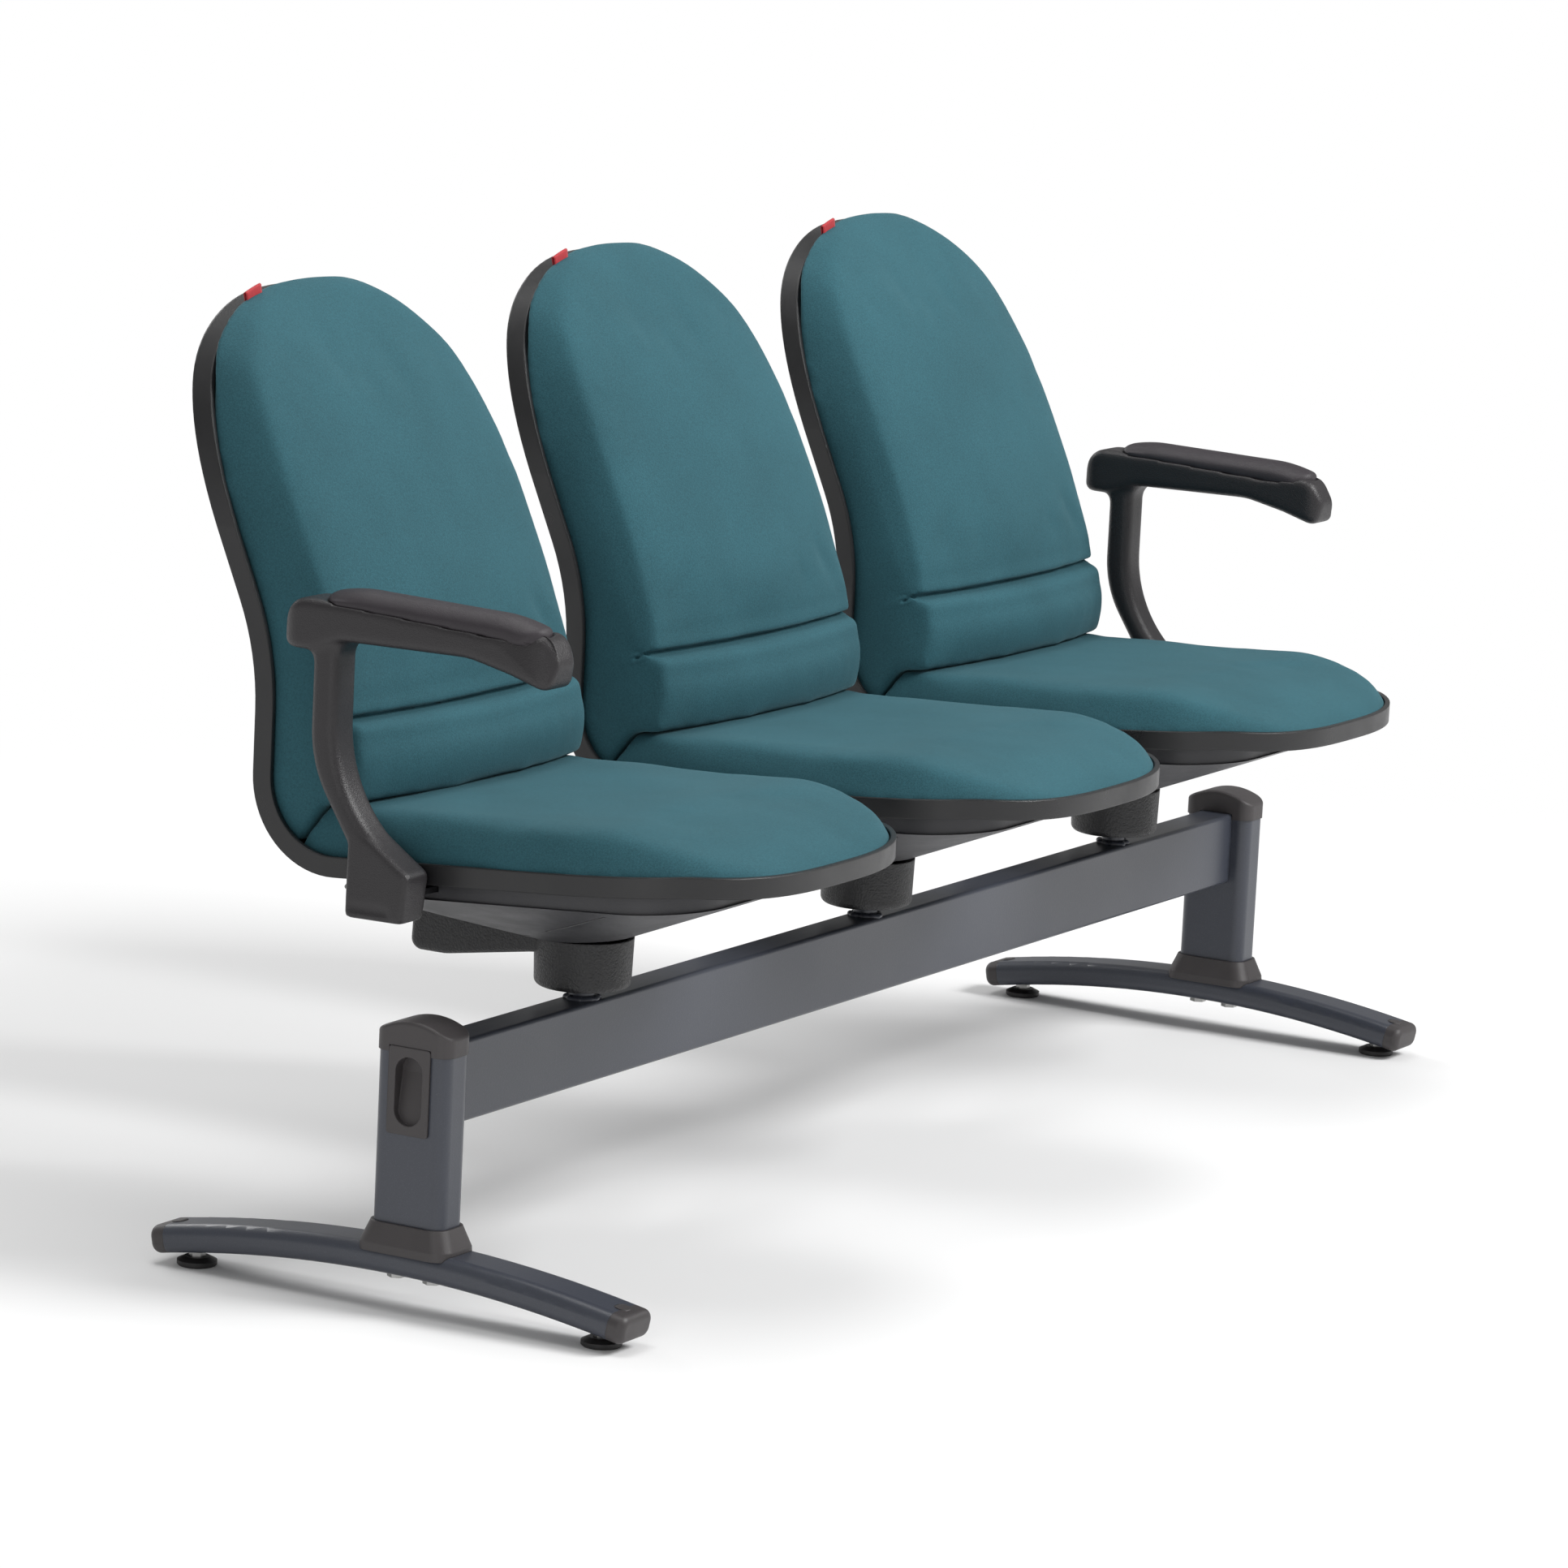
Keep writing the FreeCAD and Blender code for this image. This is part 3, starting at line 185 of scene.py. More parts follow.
def grained_material(name, colour, roughness, cell, depth, bevel):
    """Plastic with a raised pebble grain, as on grips and housings."""
    s = Shader(name, colour, roughness, bevel=bevel)
    pebble = s.cells(cell, "SMOOTH_F1")
    fine = s.noise(cell * 1.7, 2, 0.6)
    height = s.mix(0.35, pebble, fine)
    cloud = s.noise(11, 3, 0.6)
    tone = s.mix(cloud, (*shade(colour, 0.80), 1), (*shade(colour, 1.20), 1))
    gloss = s.ramp(pebble, (0.0, (max(roughness - 0.14, 0.05),)),
                   (0.6, (min(roughness + 0.08, 1),)))
    s.bump(height, 0.8, depth)
    return s.finish(tone, gloss)


def paint_material():
    """Slate powder coat: faint orange peel and sparse light specks."""
    base = (0.040, 0.045, 0.060)
    s = Shader("slate_paint", base, 0.36, bevel=0.0016)
    peel = s.noise(520, 2, 0.5)
    cloud = s.noise(5, 4, 0.6)
    speck = s.ramp(s.noise(1700, 1, 0.4), (0.60, (0.0,)), (0.78, (1.0,)))
    tone = s.mix(cloud, (*shade(base, 0.88), 1), (*shade(base, 1.12), 1))
    tone = s.mix(s.math("MULTIPLY", speck, 0.25), tone, (0.16, 0.17, 0.20, 1))
    gloss = s.ramp(cloud, (0.3, (0.32,)), (0.7, (0.42,)))
    s.bump(peel, 0.25, 0.0004)
    return s.finish(tone, gloss, Coat_Weight=0.15, Coat_Roughness=0.25)


def metal_material(name, colour, roughness):
    s = Shader(name, colour, roughness, 1.0, bevel=0.0006)
    brushed = s.noise(1.0, 3, 0.6, s.stretched((400, 400, 1800)))
    tone = s.mix(s.noise(60, 4), (*shade(colour, 0.7), 1), (*shade(colour, 1.15), 1))
    gloss = s.ramp(brushed, (0.3, (roughness - 0.08,)), (0.7, (roughness + 0.12,)))
    s.bump(brushed, 0.2, 0.0002)
    return s.finish(tone, gloss)


# Colour, roughness, grain or pebbles per metre, their depth, and the rounding of edges
MOULDED = {
    "shell_plastic": ((0.014, 0.014, 0.015), 0.34, 1300, 0.0003, 0.0025),
    "pan_plastic": ((0.010, 0.010, 0.010), 0.60, 900, 0.0004, 0.0010),
    "cover_plastic": ((0.036, 0.036, 0.040), 0.42, 1100, 0.0004, 0.0015),
    "trim_plastic": ((0.048, 0.043, 0.044), 0.46, 1200, 0.0004, 0.0018),
    "glide_plastic": ((0.015, 0.014, 0.014), 0.45, 1400, 0.0003, 0.0008),
}
GRAINED = {
    "rough_plastic": ((0.016, 0.016, 0.017), 0.42, 520, 0.0014, 0.0020),
    "arm_plastic": ((0.018, 0.016, 0.018), 0.40, 950, 0.0005, 0.0025),
    "arm_pad_plastic": ((0.026, 0.021, 0.026), 0.50, 1300, 0.0004, 0.0020),
}
METALS = {
    "black_steel": ((0.06, 0.06, 0.065), 0.40),
    "zinc_steel": ((0.45, 0.45, 0.44), 0.35),
}


def make_materials():
    made = {
        "teal_fabric": fabric_material(),
        "red_ribbon": ribbon_material(),
        "slate_paint": paint_material(),
    }
    kinds = [(MOULDED, plastic_material), (GRAINED, grained_material), (METALS, metal_material)]
    for rows, make in kinds:
        for name, values in rows.items():
            made[name] = make(name, *values)
    return made


MATERIALS = make_materials()
SLOT_OF = {part["node"]: part["material_slot"] for part in frame["record"]["subparts"]}


def dress_nodes():
    """Gives each node of the frame the material of its slot."""
    for name, obj in frame["nodes"].items():
        obj.data.materials.clear()
        obj.data.materials.append(MATERIALS[SLOT_OF[name]])


# Cushions: the solid is remeshed, rounded, blown up as cloth, then sewn

VOXEL = 0.0055
PIN_GAP = 0.0035  # points this near the pan, the rim or the other cushion are held
SHRINK = 0.0025
ROUNDING = 4  # rounds of relaxing before the cloth
TAUTNESS = 9  # and after it
BACK_PUFF = 0.0024
SEAT_PUFF = 0.0020
CLOTH_FRAMES = 20
CLOTH_PRESSURE = 4.0
UNEVENNESS = 0.0009

# Places on the cushions are in the row's own frame: y is 0 midway between the glides
CREASE_Z = 0.535
CREASE_DEPTH = 0.0095
CREASE_WIDTH = 0.0030
CREASE_HOLD = 0.008  # points this near the crease don't blow up
CREASE_REACH = 0.010
CREASE_HALF = 0.212
PAD_LIP = (0.0105, 0.0075, 0.0035, -0.0042)  # height above the crease, width, way forward, way up
ROLL_CROWN = (-0.0120, 0.0080, 0.0030, 0.0036)
CREASE = [(-0.200, 0.140, CREASE_Z), (-0.100, 0.127, CREASE_Z), (0.0, 0.123, CREASE_Z),
          (0.100, 0.127, CREASE_Z), (0.200, 0.140, CREASE_Z)]
SIDE_SEAM = [(-0.200, 0.138, 0.535), (-0.214, 0.152, 0.527), (-0.222, 0.170, 0.519),
             (-0.224, 0.203, 0.489)]
LOW_FOLD = [(-0.205, 0.080, 0.452), (-0.214, 0.128, 0.449), (-0.219, 0.142, 0.443),
            (-0.222, 0.155, 0.424), (-0.223, 0.161, 0.405)]
SEAM_DEPTH = 0.0032
SEAM_WIDTH = 0.0012
SEAM_LIP = 0.0006
SEAM_REACH = 0.007

# The arch of the back's top: a superellipse over the shoulders
SHOULDER_Z = 0.690
ARCH_HALF = 0.218
ARCH_RISE = 0.222
RIM_FRONT = (0.3194, 0.860)  # y and z of a point on the rim's front face
RIM_SLOPE = 0.32
BACK_SWELL = 0.020

# The seat's front half in plan
SEAT_HALF = 0.222
SEAT_RUN = 0.262
SEAT_TURN_Y = 0.020
SEAT_SWELL = 0.0075


def shifted(line):
    return [Vector((x, y + SHIFT_Y, z)) for x, y, z in line]


def mirrored(line):
    return [(-x, y, z) for x, y, z in line]


def points_of(mesh):
    points = np.empty(len(mesh.vertices) * 3)
    mesh.vertices.foreach_get("co", points)
    return points.reshape(-1, 3)


def normals_of(mesh):
    normals = np.empty(len(mesh.vertices) * 3)
    mesh.vertices.foreach_get("normal", normals)
    return normals.reshape(-1, 3)


def edges_of(mesh):
    edges = np.empty(len(mesh.edges) * 2, dtype=np.int64)
    mesh.edges.foreach_get("vertices", edges)
    return edges.reshape(-1, 2)


def set_points(mesh, points):
    mesh.vertices.foreach_set("co", points.ravel())
    mesh.update()


def relaxed(mesh, points, rounds, weight=0.5):
    """Points after that many rounds of moving towards the mean of their neighbours."""
    edges = edges_of(mesh)
    count = np.bincount(edges.ravel(), minlength=len(points))[:, None]
    points = points.copy()
    for _ in range(rounds):
        total = np.zeros_like(points)
        np.add.at(total, edges[:, 0], points[edges[:, 1]])
        np.add.at(total, edges[:, 1], points[edges[:, 0]])
        points += weight * (total / count - points)
    return points


def add_object(name, data):
    obj = bpy.data.objects.new(name, data)
    bpy.context.scene.collection.objects.link(obj)
    return obj


def apply_modifiers(obj):
    graph = bpy.context.evaluated_depsgraph_get()
    mesh = bpy.data.meshes.new_from_object(obj.evaluated_get(graph))
    obj.modifiers.clear()
    obj.data = mesh


def gap_to(points, names):
    """Distance from each point to the nearest of these nodes."""
    graph = bpy.context.evaluated_depsgraph_get()
    best = np.full(len(points), 1.0)
    for name in names:
        tree = BVHTree.FromObject(frame["nodes"][name], graph)
        for index, point in enumerate(points):
            found = tree.find_nearest(Vector(point), 0.02)
            if found[0] is not None:
                best[index] = min(best[index], found[3])
    return best


def near_line(points, line):
    """Distance of each point from a line of points, and how far along it that is."""
    best = np.full(len(points), 1.0)
    along = np.zeros(len(points))
    run = 0.0
    for a, b in zip(line, line[1:]):
        step = np.array(b - a)
        length = np.linalg.norm(step)
        offset = points - np.array(a)
        share = np.clip(offset @ step / length ** 2, 0, 1)
        gap = np.linalg.norm(offset - share[:, None] * step, axis=1)
        closer = gap < best
        best[closer] = gap[closer]
        along[closer] = run + share[closer] * length
        run += length
    return best, along


def blow_up(obj, held, cap):
    """Cloth with air pressure; held points stay, others move by at most cap."""
    before = points_of(obj.data)
    group = obj.vertex_groups.new(name="held")
    group.add([int(index) for index in np.flatnonzero(held)], 1.0, "REPLACE")
    cloth = obj.modifiers.new("cloth", "CLOTH")
    settings = cloth.settings
    settings.quality = 5
    settings.use_pressure = True
    settings.uniform_pressure_force = CLOTH_PRESSURE
    settings.effector_weights.gravity = 0.0
    settings.vertex_group_mass = "held"
    cloth.collision_settings.use_collision = False
    cloth.point_cache.frame_start = 1
    cloth.point_cache.frame_end = CLOTH_FRAMES
    scene = bpy.context.scene
    for frame_number in range(1, CLOTH_FRAMES + 1):
        scene.frame_set(frame_number)
    apply_modifiers(obj)
    after = points_of(obj.data)
    travel = after - before
    length = np.linalg.norm(travel, axis=1)[:, None]
    travel *= np.minimum(1.0, cap / np.maximum(length, 1e-9))
    set_points(obj.data, before + travel)
    obj.vertex_groups.clear()
    scene.frame_set(1)


def finer_near(mesh, lines, reach):
    """Splits the faces within reach of the lines, so that a seam can be narrow."""
    for _ in range(2):
        points = points_of(mesh)
        close = np.zeros(len(points), dtype=bool)
        for line in lines:
            close |= near_line(points, line)[0] < reach
        grid = bmesh.new()
        grid.from_mesh(mesh)
        grid.verts.ensure_lookup_table()
        chosen = [edge for edge in grid.edges if all(close[corner.index] for corner in edge.verts)]
        bmesh.ops.subdivide_edges(grid, edges=chosen, cuts=1, use_grid_fill=True)
        grid.to_mesh(mesh)
        grid.free()
        mesh.update()


def press_seam(mesh, line):
    """Sinks a narrow groove along a line, with soft lips on both sides."""
    points, normals = points_of(mesh), normals_of(mesh)
    gap, along = near_line(points, line)
    rng = np.random.default_rng(7)
    phases = rng.uniform(0, 6, 3)
    wave = sum(np.sin(along * pitch + phase) for pitch, phase in zip((90, 160, 290), phases))
    sink = SEAM_DEPTH * np.exp(-(gap / SEAM_WIDTH) ** 2) * (1 + 0.03 * wave)
    beside = (gap - 3.2 * SEAM_WIDTH) / (1.6 * SEAM_WIDTH)
    swell = SEAM_LIP * np.exp(-beside ** 2) * (1 + 0.10 * wave)
    set_points(mesh, points + normals * (swell - sink)[:, None])


def undulate(mesh, seed):
    """Slow, slight unevenness of foam under cloth."""
    points, normals = points_of(mesh), normals_of(mesh)
    shift = Vector((3.1 * seed, 1.7 * seed, 0.9 * seed))
    wave = np.array([
        noise.noise(Vector(point) * 9.0 + shift) + 0.4 * noise.noise(Vector(point) * 23.0 + shift)
        for point in points
    ])
    set_points(mesh, points + normals * (wave * UNEVENNESS)[:, None])


def smooth_shading(mesh):
    mesh.polygons.foreach_set("use_smooth", np.ones(len(mesh.polygons), dtype=bool))


def make_cushion(kind, neighbours, cap):
    """Remeshed and blown up cushion of the middle seat, before it is sewn."""
    obj = add_object(kind, frame["nodes"][kind + "_2"].data.copy())
    remesh = obj.modifiers.new("remesh", "REMESH")
    remesh.mode = "VOXEL"
    remesh.voxel_size = VOXEL
    apply_modifiers(obj)
    mesh = obj.data
    points = points_of(mesh)
    held = gap_to(points, [name + "_2" for name in neighbours]) < PIN_GAP
    sewn = near_line(points, shifted(CREASE))[0] < CREASE_HOLD
    soft = relaxed(mesh, points, ROUNDING)
    fixed = held | sewn
    set_points(mesh, soft)
    soft -= normals_of(mesh) * SHRINK
    soft[fixed] = points[fixed]
    set_points(mesh, soft)
    blow_up(obj, fixed, cap)
    mesh = obj.data
    points = points_of(mesh)
    soft = relaxed(mesh, points, TAUTNESS)
    soft[sewn] = points[sewn]
    set_points(mesh, soft)
    split = obj.modifiers.new("split", "SUBSURF")
    split.levels = 1
    apply_modifiers(obj)
    return obj


def fade(value, start, end):
    """Goes smoothly from 0 at start to 1 at end, which may be the lower one."""
    share = np.clip((value - start) / (end - start), 0, 1)
    return share * share * (3 - 2 * share)


def row_frame(points):
    return points[:, 0], points[:, 1] - SHIFT_Y, points[:, 2]


def swell_over_rim(mesh):
    """The top of the back pad stands proud and covers the rim between its shoulders."""
    points = points_of(mesh)
    x, y, z = row_frame(points)
    rise = np.maximum(z - SHOULDER_Z, 0)
    reach = ((np.abs(x) / ARCH_HALF) ** 2.5 + (rise / ARCH_RISE) ** 2.5) ** 0.4
    rim_front = RIM_FRONT[0] + (z - RIM_FRONT[1]) * RIM_SLOPE
    ahead = fade(rim_front - y, 0.0005, 0.0095)
    middle = fade(np.abs(x), 0.212, 0.152)
    amount = BACK_SWELL * ahead * middle * fade(reach, 0.74, 0.98)
    outward = np.stack([x, 0.44 * rise, rise], axis=1)
    outward /= np.maximum(np.linalg.norm(outward, axis=1)[:, None], 1e-9)
    set_points(mesh, points + outward * amount[:, None])


def swell_over_lip(mesh):
    """The seat pad stands out over the rim at its front and round the front corners."""
    points = points_of(mesh)
    x, y, z = row_frame(points)
    run = np.maximum(SEAT_TURN_Y - y, 0)
    reach = ((np.abs(x) / SEAT_HALF) ** 2.6 + (run / SEAT_RUN) ** 2.6) ** (1 / 2.6)
    outward = np.stack([x, -0.75 * run, 0 * z], axis=1)
    outward /= np.maximum(np.linalg.norm(outward, axis=1)[:, None], 1e-9)
    amount = SEAT_SWELL * fade(reach, 0.80, 0.96) * fade(run, 0, 0.10)
    set_points(mesh, points + outward * amount[:, None])


def close_crease(mesh):
    """Draws the lower lip of the pad down and forward over the roll."""
    points = points_of(mesh)
    x, y, z = row_frame(points)
    front = fade(y, 0.170, 0.150)
    across = fade(np.abs(x), CREASE_HALF, CREASE_HALF - 0.020)
    moved = points.copy()
    for above, width, forward, lift in (PAD_LIP, ROLL_CROWN):
        share = np.exp(-((z - CREASE_Z - above) / width) ** 2) * front * across
        moved[:, 1] -= forward * share
        moved[:, 2] += lift * share
    set_points(mesh, moved)


def press_crease(mesh):
    """Sinks the crease straight into the pad, however far its lips stand forward."""
    points = points_of(mesh)
    x, y, z = row_frame(points)
    front = fade(y, 0.165, 0.145)
    across = fade(np.abs(x), CREASE_HALF, CREASE_HALF - 0.012)
    groove = np.exp(-((z - CREASE_Z) / CREASE_WIDTH) ** 2)
    points[:, 1] += CREASE_DEPTH * groove * front * across
    set_points(mesh, points)


def sew_back(mesh):
    close_crease(mesh)
    swell_over_rim(mesh)
    seams = [shifted(SIDE_SEAM), shifted(mirrored(SIDE_SEAM))]
    finer_near(mesh, [shifted(CREASE)] + seams, CREASE_REACH)
    press_crease(mesh)
    for seam in seams:
        press_seam(mesh, seam)


def sew_seat(mesh):
    swell_over_lip(mesh)
    seams = [shifted(LOW_FOLD), shifted(mirrored(LOW_FOLD))]
    finer_near(mesh, seams, SEAM_REACH)
    for seam in seams:
        press_seam(mesh, seam)


def place_cushions(kind, master, sew):
    """Sews the cushion and sets a copy, each with its own unevenness, on every seat."""
    sew(master.data)
    for number, x in enumerate(SEAT_X, start=1):
        mesh = master.data.copy()
        undulate(mesh, number)
        set_points(mesh, points_of(mesh) + np.array([x, 0, 0]))
        smooth_shading(mesh)
        mesh.materials.clear()
        mesh.materials.append(MATERIALS["teal_fabric"])
        piece = add_object("%s_soft_%d" % (kind, number), mesh)
        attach(piece, "root")
        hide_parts("%s_%d" % (kind, number))
    bpy.data.objects.remove(master)


def make_cushions():
    back = make_cushion("back_cushion", ["inner_pan", "seat_shell", "seat_cushion"], BACK_PUFF)
    seat = make_cushion("seat_cushion", ["inner_pan", "seat_shell", "back_cushion"], SEAT_PUFF)
    place_cushions("back_cushion", back, sew_back)
    place_cushions("seat_cushion", seat, sew_seat)


# Arms and their pads

ARM_X = SEAT_PITCH + 0.251
ARM_VOXEL = 0.0024
NOSE_AHEAD = (0.070, 0.084, 0.100, 0.113, 0.130)  # along the flank's crisp edge
NOSE_EDGE_Z = (0.646, 0.639, 0.629, 0.621, 0.607)
NOSE_TURN_IN = 0.30
NOSE_DROP = 0.0085
PAD_EDGE = (0.009, 0.653)  # y and z of a point on the pad's lower edge
PAD_SLOPE = 0.068
PAD_LEVEL_HALF = 0.070
PAD_RUN_OUT = 0.051
PAD_DROP = 0.0085


def round_nose(points, side):
    """The nose rolls down, and its outer flank turns in behind a crisp edge."""
    x, y, z = row_frame(points)
    tip = np.clip((-0.098 - y) / 0.043, 0, 1) ** 2
    drop = NOSE_DROP * tip * fade(z, 0.612, 0.652)
    edge_z = np.interp(-y, NOSE_AHEAD, NOSE_EDGE_Z)
    past = np.clip(z - edge_z, 0, 0.045) * fade(-y, 0.066, 0.096)
    outer = fade(side * x - ARM_X, 0.006, 0.022)
    points[:, 0] -= side * NOSE_TURN_IN * past * outer
    points[:, 2] -= drop


def finish_piece(piece, node, material):
    """Dresses a piece of the row that stands for a node."""
    smooth_shading(piece.data)
    piece.data.materials.clear()
    piece.data.materials.append(MATERIALS[material])
    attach(piece, "root")
    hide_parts(node)


def voxel_copy(name, node, rounds, reshape):
    """Even mesh over a node's solid, relaxed and then reshaped by a function of its points."""
    piece = add_object(name, frame["nodes"][node].data.copy())
    remesh = piece.modifiers.new("remesh", "REMESH")
    remesh.mode = "VOXEL"
    remesh.voxel_size = ARM_VOXEL
    apply_modifiers(piece)
    points = relaxed(piece.data, points_of(piece.data), rounds)
    reshape(points)
    set_points(piece.data, points)
    return piece


def ease_pad(points):
    """Ends of the soft pad run out in a long curve instead of a step."""
    x, y, z = row_frame(points)
    run = np.clip((np.abs(y) - PAD_LEVEL_HALF) / PAD_RUN_OUT, 0, 1)
    top = fade(z - PAD_EDGE[1] - PAD_SLOPE * (y - PAD_EDGE[0]), 0, 0.006)
    points[:, 2] -= PAD_DROP * run ** 2 * top


def make_arms():
    for side, word in ((-1, "left"), (1, "right")):
        arm = voxel_copy("arm_moulding_" + word, "arm_" + word, 3,
                         lambda points: round_nose(points, side))
        finish_piece(arm, "arm_" + word, "arm_plastic")
        pad = voxel_copy("arm_soft_pad_" + word, "arm_pad_" + word, 4, ease_pad)
        finish_piece(pad, "arm_pad_" + word, "arm_pad_plastic")


# Ribbon loops and weld beads

TAG_X, TAG_Y, TAG_Z = -0.098, 0.3285, 0.9185
TAG_TURN = math.radians(17.0)
TAG_HALF_WIDTH = 0.0130
TAG_SEWN = -0.012
TAG_TOP = 0.0040
TAG_ROOM = 0.0011  # from the middle of the loop to each layer
TAG_THICKNESS = 0.0007

WELD_RADIUS = 0.0145
WELD_BEAD = 0.0036
WELD_Z = 0.2558


def ribbon_loop():
    """Two layers of ribbon with a round fold on top, sewn in at the foot."""
    room, bulge, fold = TAG_ROOM, TAG_ROOM * 1.35, 0.0012
    outline = [(-room, TAG_SEWN), (-room * 1.1, -0.004), (-bulge, 0.002)]
    for step in range(7):
        angle = math.pi * step / 6
        outline.append((-bulge * math.cos(angle), TAG_TOP - fold + fold * math.sin(angle)))
    outline += [(bulge, 0.002), (room * 1.1, -0.004), (room, TAG_SEWN)]
    columns = 9
    points, faces = [], []
    for column in range(columns):
        share = column / (columns - 1) * 2 - 1
        for depth, height in outline:
            sag = 0.0004 * share * share
            points.append((share * TAG_HALF_WIDTH, depth, height - sag * (height > 0)))
    rows = len(outline)
    for column in range(columns - 1):
        for row in range(rows - 1):
            first = column * rows + row
            faces.append((first, first + rows, first + rows + 1, first + 1))
    return points, faces


def make_tags():
    points, faces = ribbon_loop()
    turn = Matrix.Rotation(-TAG_TURN, 3, "Y")
    all_points, all_faces = [], []
    for x in SEAT_X:
        start = len(all_points)
        place = Vector((x + TAG_X, TAG_Y + SHIFT_Y, TAG_Z))
        all_points += [turn @ Vector(point) + place for point in points]
        all_faces += [tuple(start + index for index in face) for face in faces]
    mesh = bpy.data.meshes.new("ribbon_loops")
    mesh.from_pydata(all_points, [], all_faces)
    piece = add_object("ribbon_loops", mesh)
    thick = piece.modifiers.new("thick", "SOLIDIFY")
    thick.thickness = TAG_THICKNESS
    thick.offset = 0.0
    apply_modifiers(piece)
    finish_piece(piece, "back_tags", "red_ribbon")


def weld_bead(x, phases, around, across):
    """Points of one lumpy ring round a stub's foot."""
    points = []
    for i in range(around):
        angle = 2 * math.pi * i / around
        lump = 1 + 0.16 * math.sin(9 * angle + phases[0]) + 0.10 * math.sin(17 * angle + phases[1])
        stray = 0.0010 * math.sin(3 * angle + phases[2]) + 0.0008 * math.sin(7 * angle + phases[3])
        bead = WELD_BEAD * lump
        for j in range(across):
            turn = 2 * math.pi * j / across
            r = WELD_RADIUS + stray + bead * math.cos(turn)
            points.append((x + r * math.cos(angle), BEAM_Y + r * math.sin(angle),
                           WELD_Z + 0.85 * bead * math.sin(turn)))
    return points


def make_welds():
    around, across = 64, 12
    rng = np.random.default_rng(11)
    points, faces = [], []
    for x in SEAT_X:
        start = len(points)
        points += weld_bead(x, rng.uniform(0, 6.28, 4), around, across)
        for i in range(around):
            here, ahead = start + i * across, start + (i + 1) % around * across
            for j in range(across):
                after = (j + 1) % across
                faces.append((here + j, ahead + j, ahead + after, here + after))
    mesh = bpy.data.meshes.new("stub_welds")
    mesh.from_pydata(points, [], faces)
    piece = add_object("stub_welds", mesh)
    smooth_shading(mesh)
    mesh.materials.append(MATERIALS["slate_paint"])
    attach(piece, "root")


# Stage, lights and camera

FLOOR_HALF = 60.0
FLOOR_WHITE_FROM = 0.9
FLOOR_WHITE_TO = 2.6
WORLD_LIGHT = 0.34

LAMPS = [  # name, place, target, size, watts
    ("key", (1.6, -4.2, 4.4), (0, 0, 0.5), (2.6, 2.0), 330),
    ("top", (-0.4, 0.6, 4.6), (0, 0, 0.4), (3.4, 2.0), 90),
    ("left", (-5.2, -1.4, 1.6), (-0.4, 0, 0.5), (1.6, 2.0), 30),
    ("rear", (1.5, 4.5, 2.6), (0, 0, 0.5), (2.6, 1.6), 60),
]

CAMERA_PLACE = (-6.0808, -3.41555, 1.6283)
CAMERA_YAW, CAMERA_PITCH, CAMERA_ROLL = 60.268, 10.107, 2.835
CAMERA_LENS = 155.84


def floor_material():
    """Pale floor that keeps the shadow near the object and is white further out."""
    material = bpy.data.materials.new("floor")
    material.use_nodes = True
    tree = material.node_tree
    tree.nodes.clear()
    output = tree.nodes.new("ShaderNodeOutputMaterial")
    diffuse = tree.nodes.new("ShaderNodeBsdfDiffuse")
    diffuse.inputs["Color"].default_value = (0.86, 0.86, 0.86, 1)
    glow = tree.nodes.new("ShaderNodeEmission")
    mix = tree.nodes.new("ShaderNodeMixShader")
    path = tree.nodes.new("ShaderNodeLightPath")
    coords = tree.nodes.new("ShaderNodeTexCoord")
    length = tree.nodes.new("ShaderNodeVectorMath")
    length.operation = "LENGTH"
    fade = tree.nodes.new("ShaderNodeMapRange")
    fade.interpolation_type = "SMOOTHSTEP"
    fade.inputs["From Min"].default_value = FLOOR_WHITE_FROM
    fade.inputs["From Max"].default_value = FLOOR_WHITE_TO
    both = tree.nodes.new("ShaderNodeMath")
    both.operation = "MULTIPLY"
    seen = tree.nodes.new("ShaderNodeMath")
    seen.operation = "MAXIMUM"
    link = tree.links.new
    link(coords.outputs["Object"], length.inputs[0])
    link(length.outputs["Value"], fade.inputs["Value"])
    link(path.outputs["Is Camera Ray"], seen.inputs[0])
    link(path.outputs["Is Glossy Ray"], seen.inputs[1])
    link(fade.outputs["Result"], both.inputs[0])
    link(seen.outputs[0], both.inputs[1])
    link(both.outputs[0], mix.inputs[0])
    link(diffuse.outputs[0], mix.inputs[1])
    link(glow.outputs[0], mix.inputs[2])
    link(mix.outputs[0], output.inputs["Surface"])
    return material


def make_floor():
    mesh = bpy.data.meshes.new("floor")
    corners = [(a * FLOOR_HALF, b * FLOOR_HALF, 0) for a, b in ((-1, -1), (1, -1), (1, 1), (-1, 1))]
    mesh.from_pydata(corners, [], [(0, 1, 2, 3)])
    floor = add_object("floor", mesh)
    mesh.materials.append(floor_material())


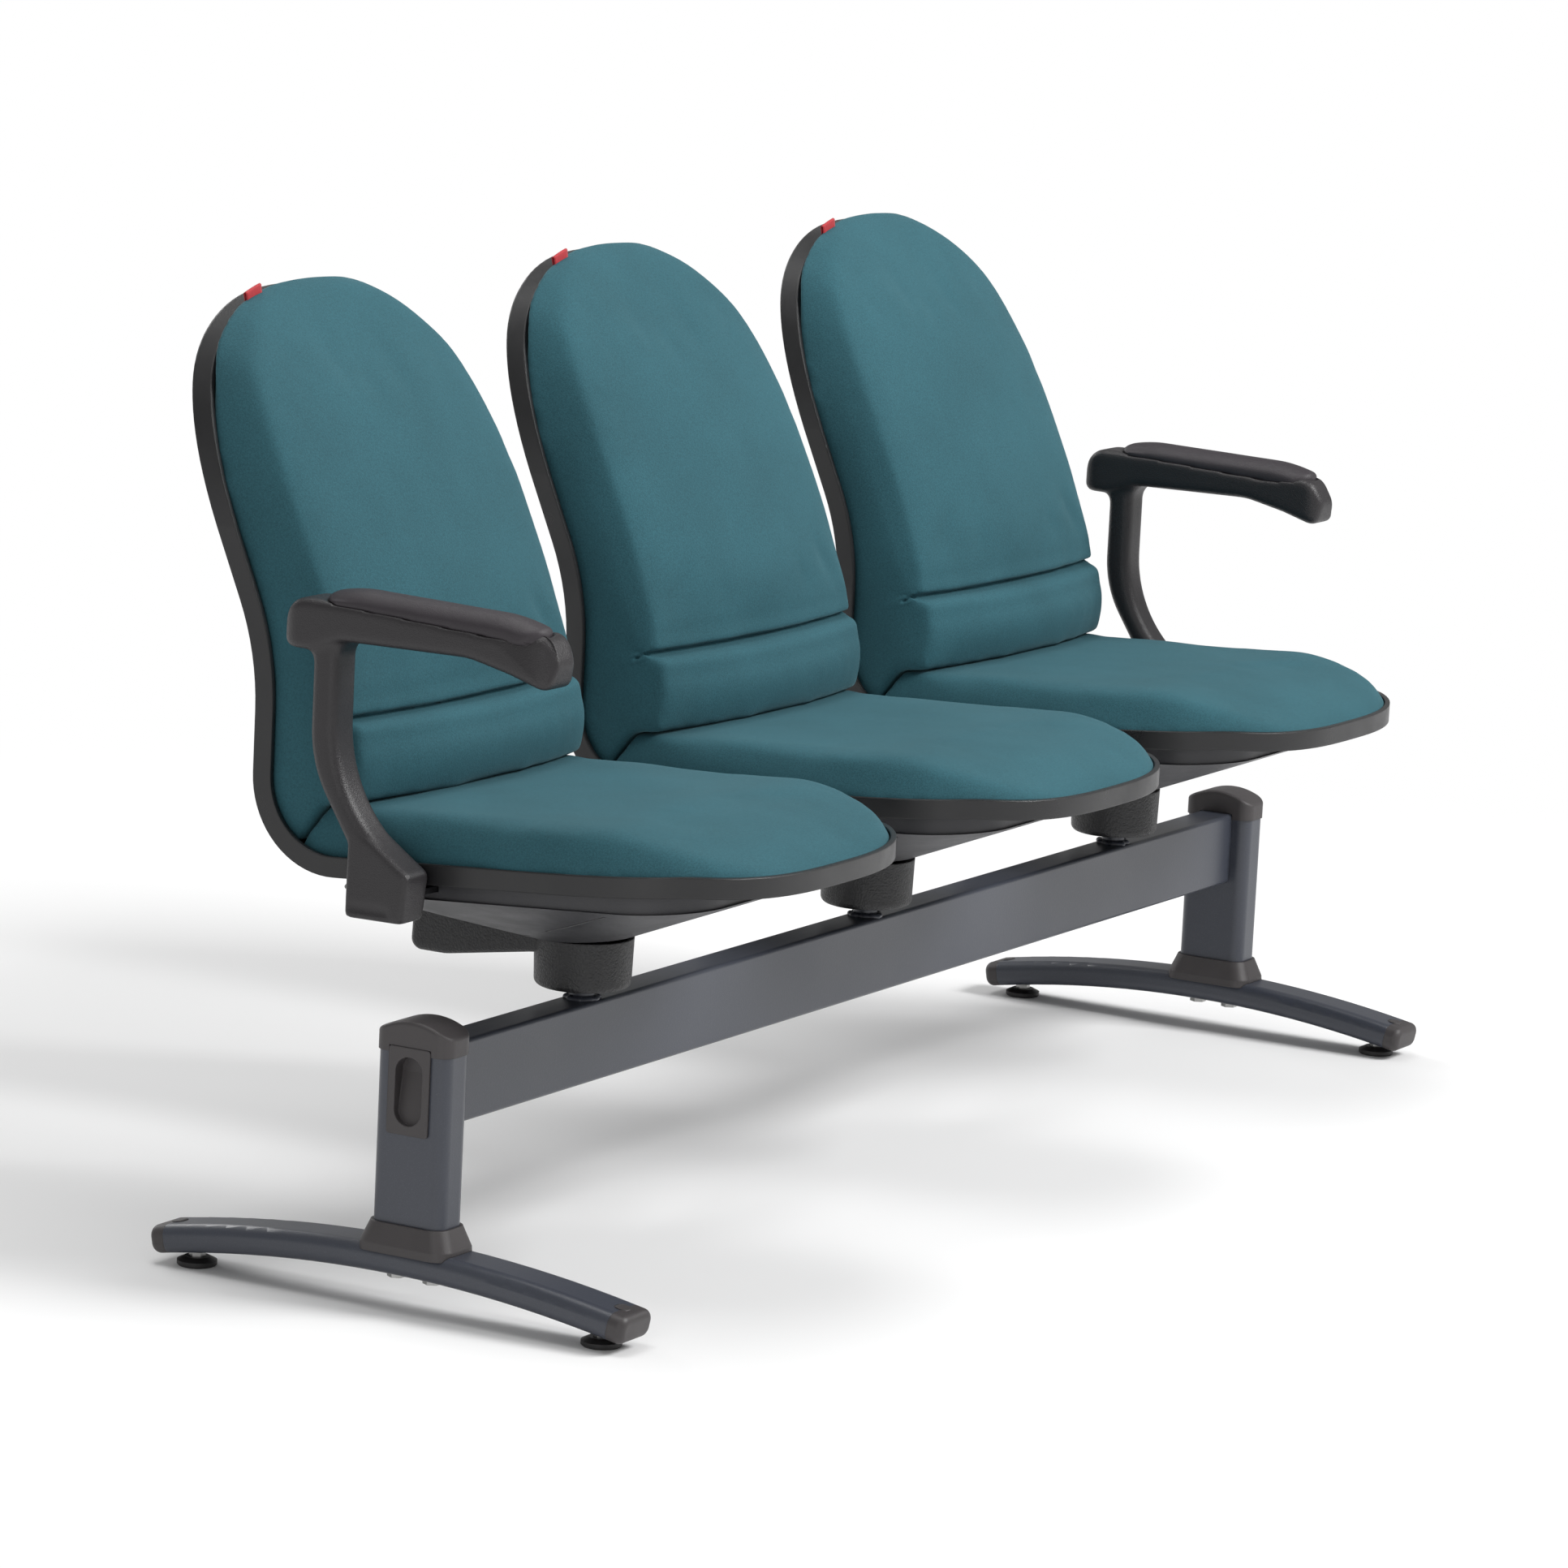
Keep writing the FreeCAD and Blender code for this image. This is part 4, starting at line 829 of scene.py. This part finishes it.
def make_world():
    world = bpy.data.worlds.new("studio")
    bpy.context.scene.world = world
    world.use_nodes = True
    tree = world.node_tree
    light = tree.nodes["Background"]
    light.inputs["Color"].default_value = (1, 1, 1, 1)
    light.inputs["Strength"].default_value = WORLD_LIGHT
    white = tree.nodes.new("ShaderNodeBackground")
    white.inputs["Strength"].default_value = 1.0
    mix = tree.nodes.new("ShaderNodeMixShader")
    path = tree.nodes.new("ShaderNodeLightPath")
    tree.links.new(path.outputs["Is Camera Ray"], mix.inputs[0])
    tree.links.new(light.outputs[0], mix.inputs[1])
    tree.links.new(white.outputs[0], mix.inputs[2])
    tree.links.new(mix.outputs[0], tree.nodes["World Output"].inputs["Surface"])


def add_lamp(name, place, target, size, watts):
    data = bpy.data.lights.new(name, "AREA")
    data.shape = "RECTANGLE"
    data.size, data.size_y = size
    data.energy = watts
    lamp = add_object(name, data)
    lamp.location = place
    aim = (Vector(target) - Vector(place)).to_track_quat("-Z", "Y")
    lamp.rotation_mode = "QUATERNION"
    lamp.rotation_quaternion = aim


def make_lamps():
    for row in LAMPS:
        add_lamp(*row)


def make_camera():
    """Stands where the photograph was taken: long lens, low, from the left front."""
    yaw, pitch, roll = (math.radians(angle) for angle in (CAMERA_YAW, CAMERA_PITCH, CAMERA_ROLL))
    level_part = math.cos(pitch)
    forward = Vector((level_part * math.sin(yaw), level_part * math.cos(yaw), -math.sin(pitch)))
    level = Vector((math.cos(yaw), -math.sin(yaw), 0))
    upright = level.cross(forward)
    right = level * math.cos(roll) + upright * math.sin(roll)
    up = upright * math.cos(roll) - level * math.sin(roll)
    turn = Matrix((right, up, -forward)).transposed()
    data = bpy.data.cameras.new("camera")
    data.sensor_width = 36.0
    data.lens = CAMERA_LENS
    data.clip_end = 200.0
    camera = add_object("camera", data)
    camera.matrix_world = Matrix.Translation(CAMERA_PLACE) @ turn.to_4x4()
    bpy.context.scene.camera = camera


dress_nodes()
make_cushions()
make_arms()
make_tags()
make_welds()
make_floor()
make_world()
make_lamps()
make_camera()

bpy.context.scene.view_settings.view_transform = "Standard"
bpy.context.view_layer.update()
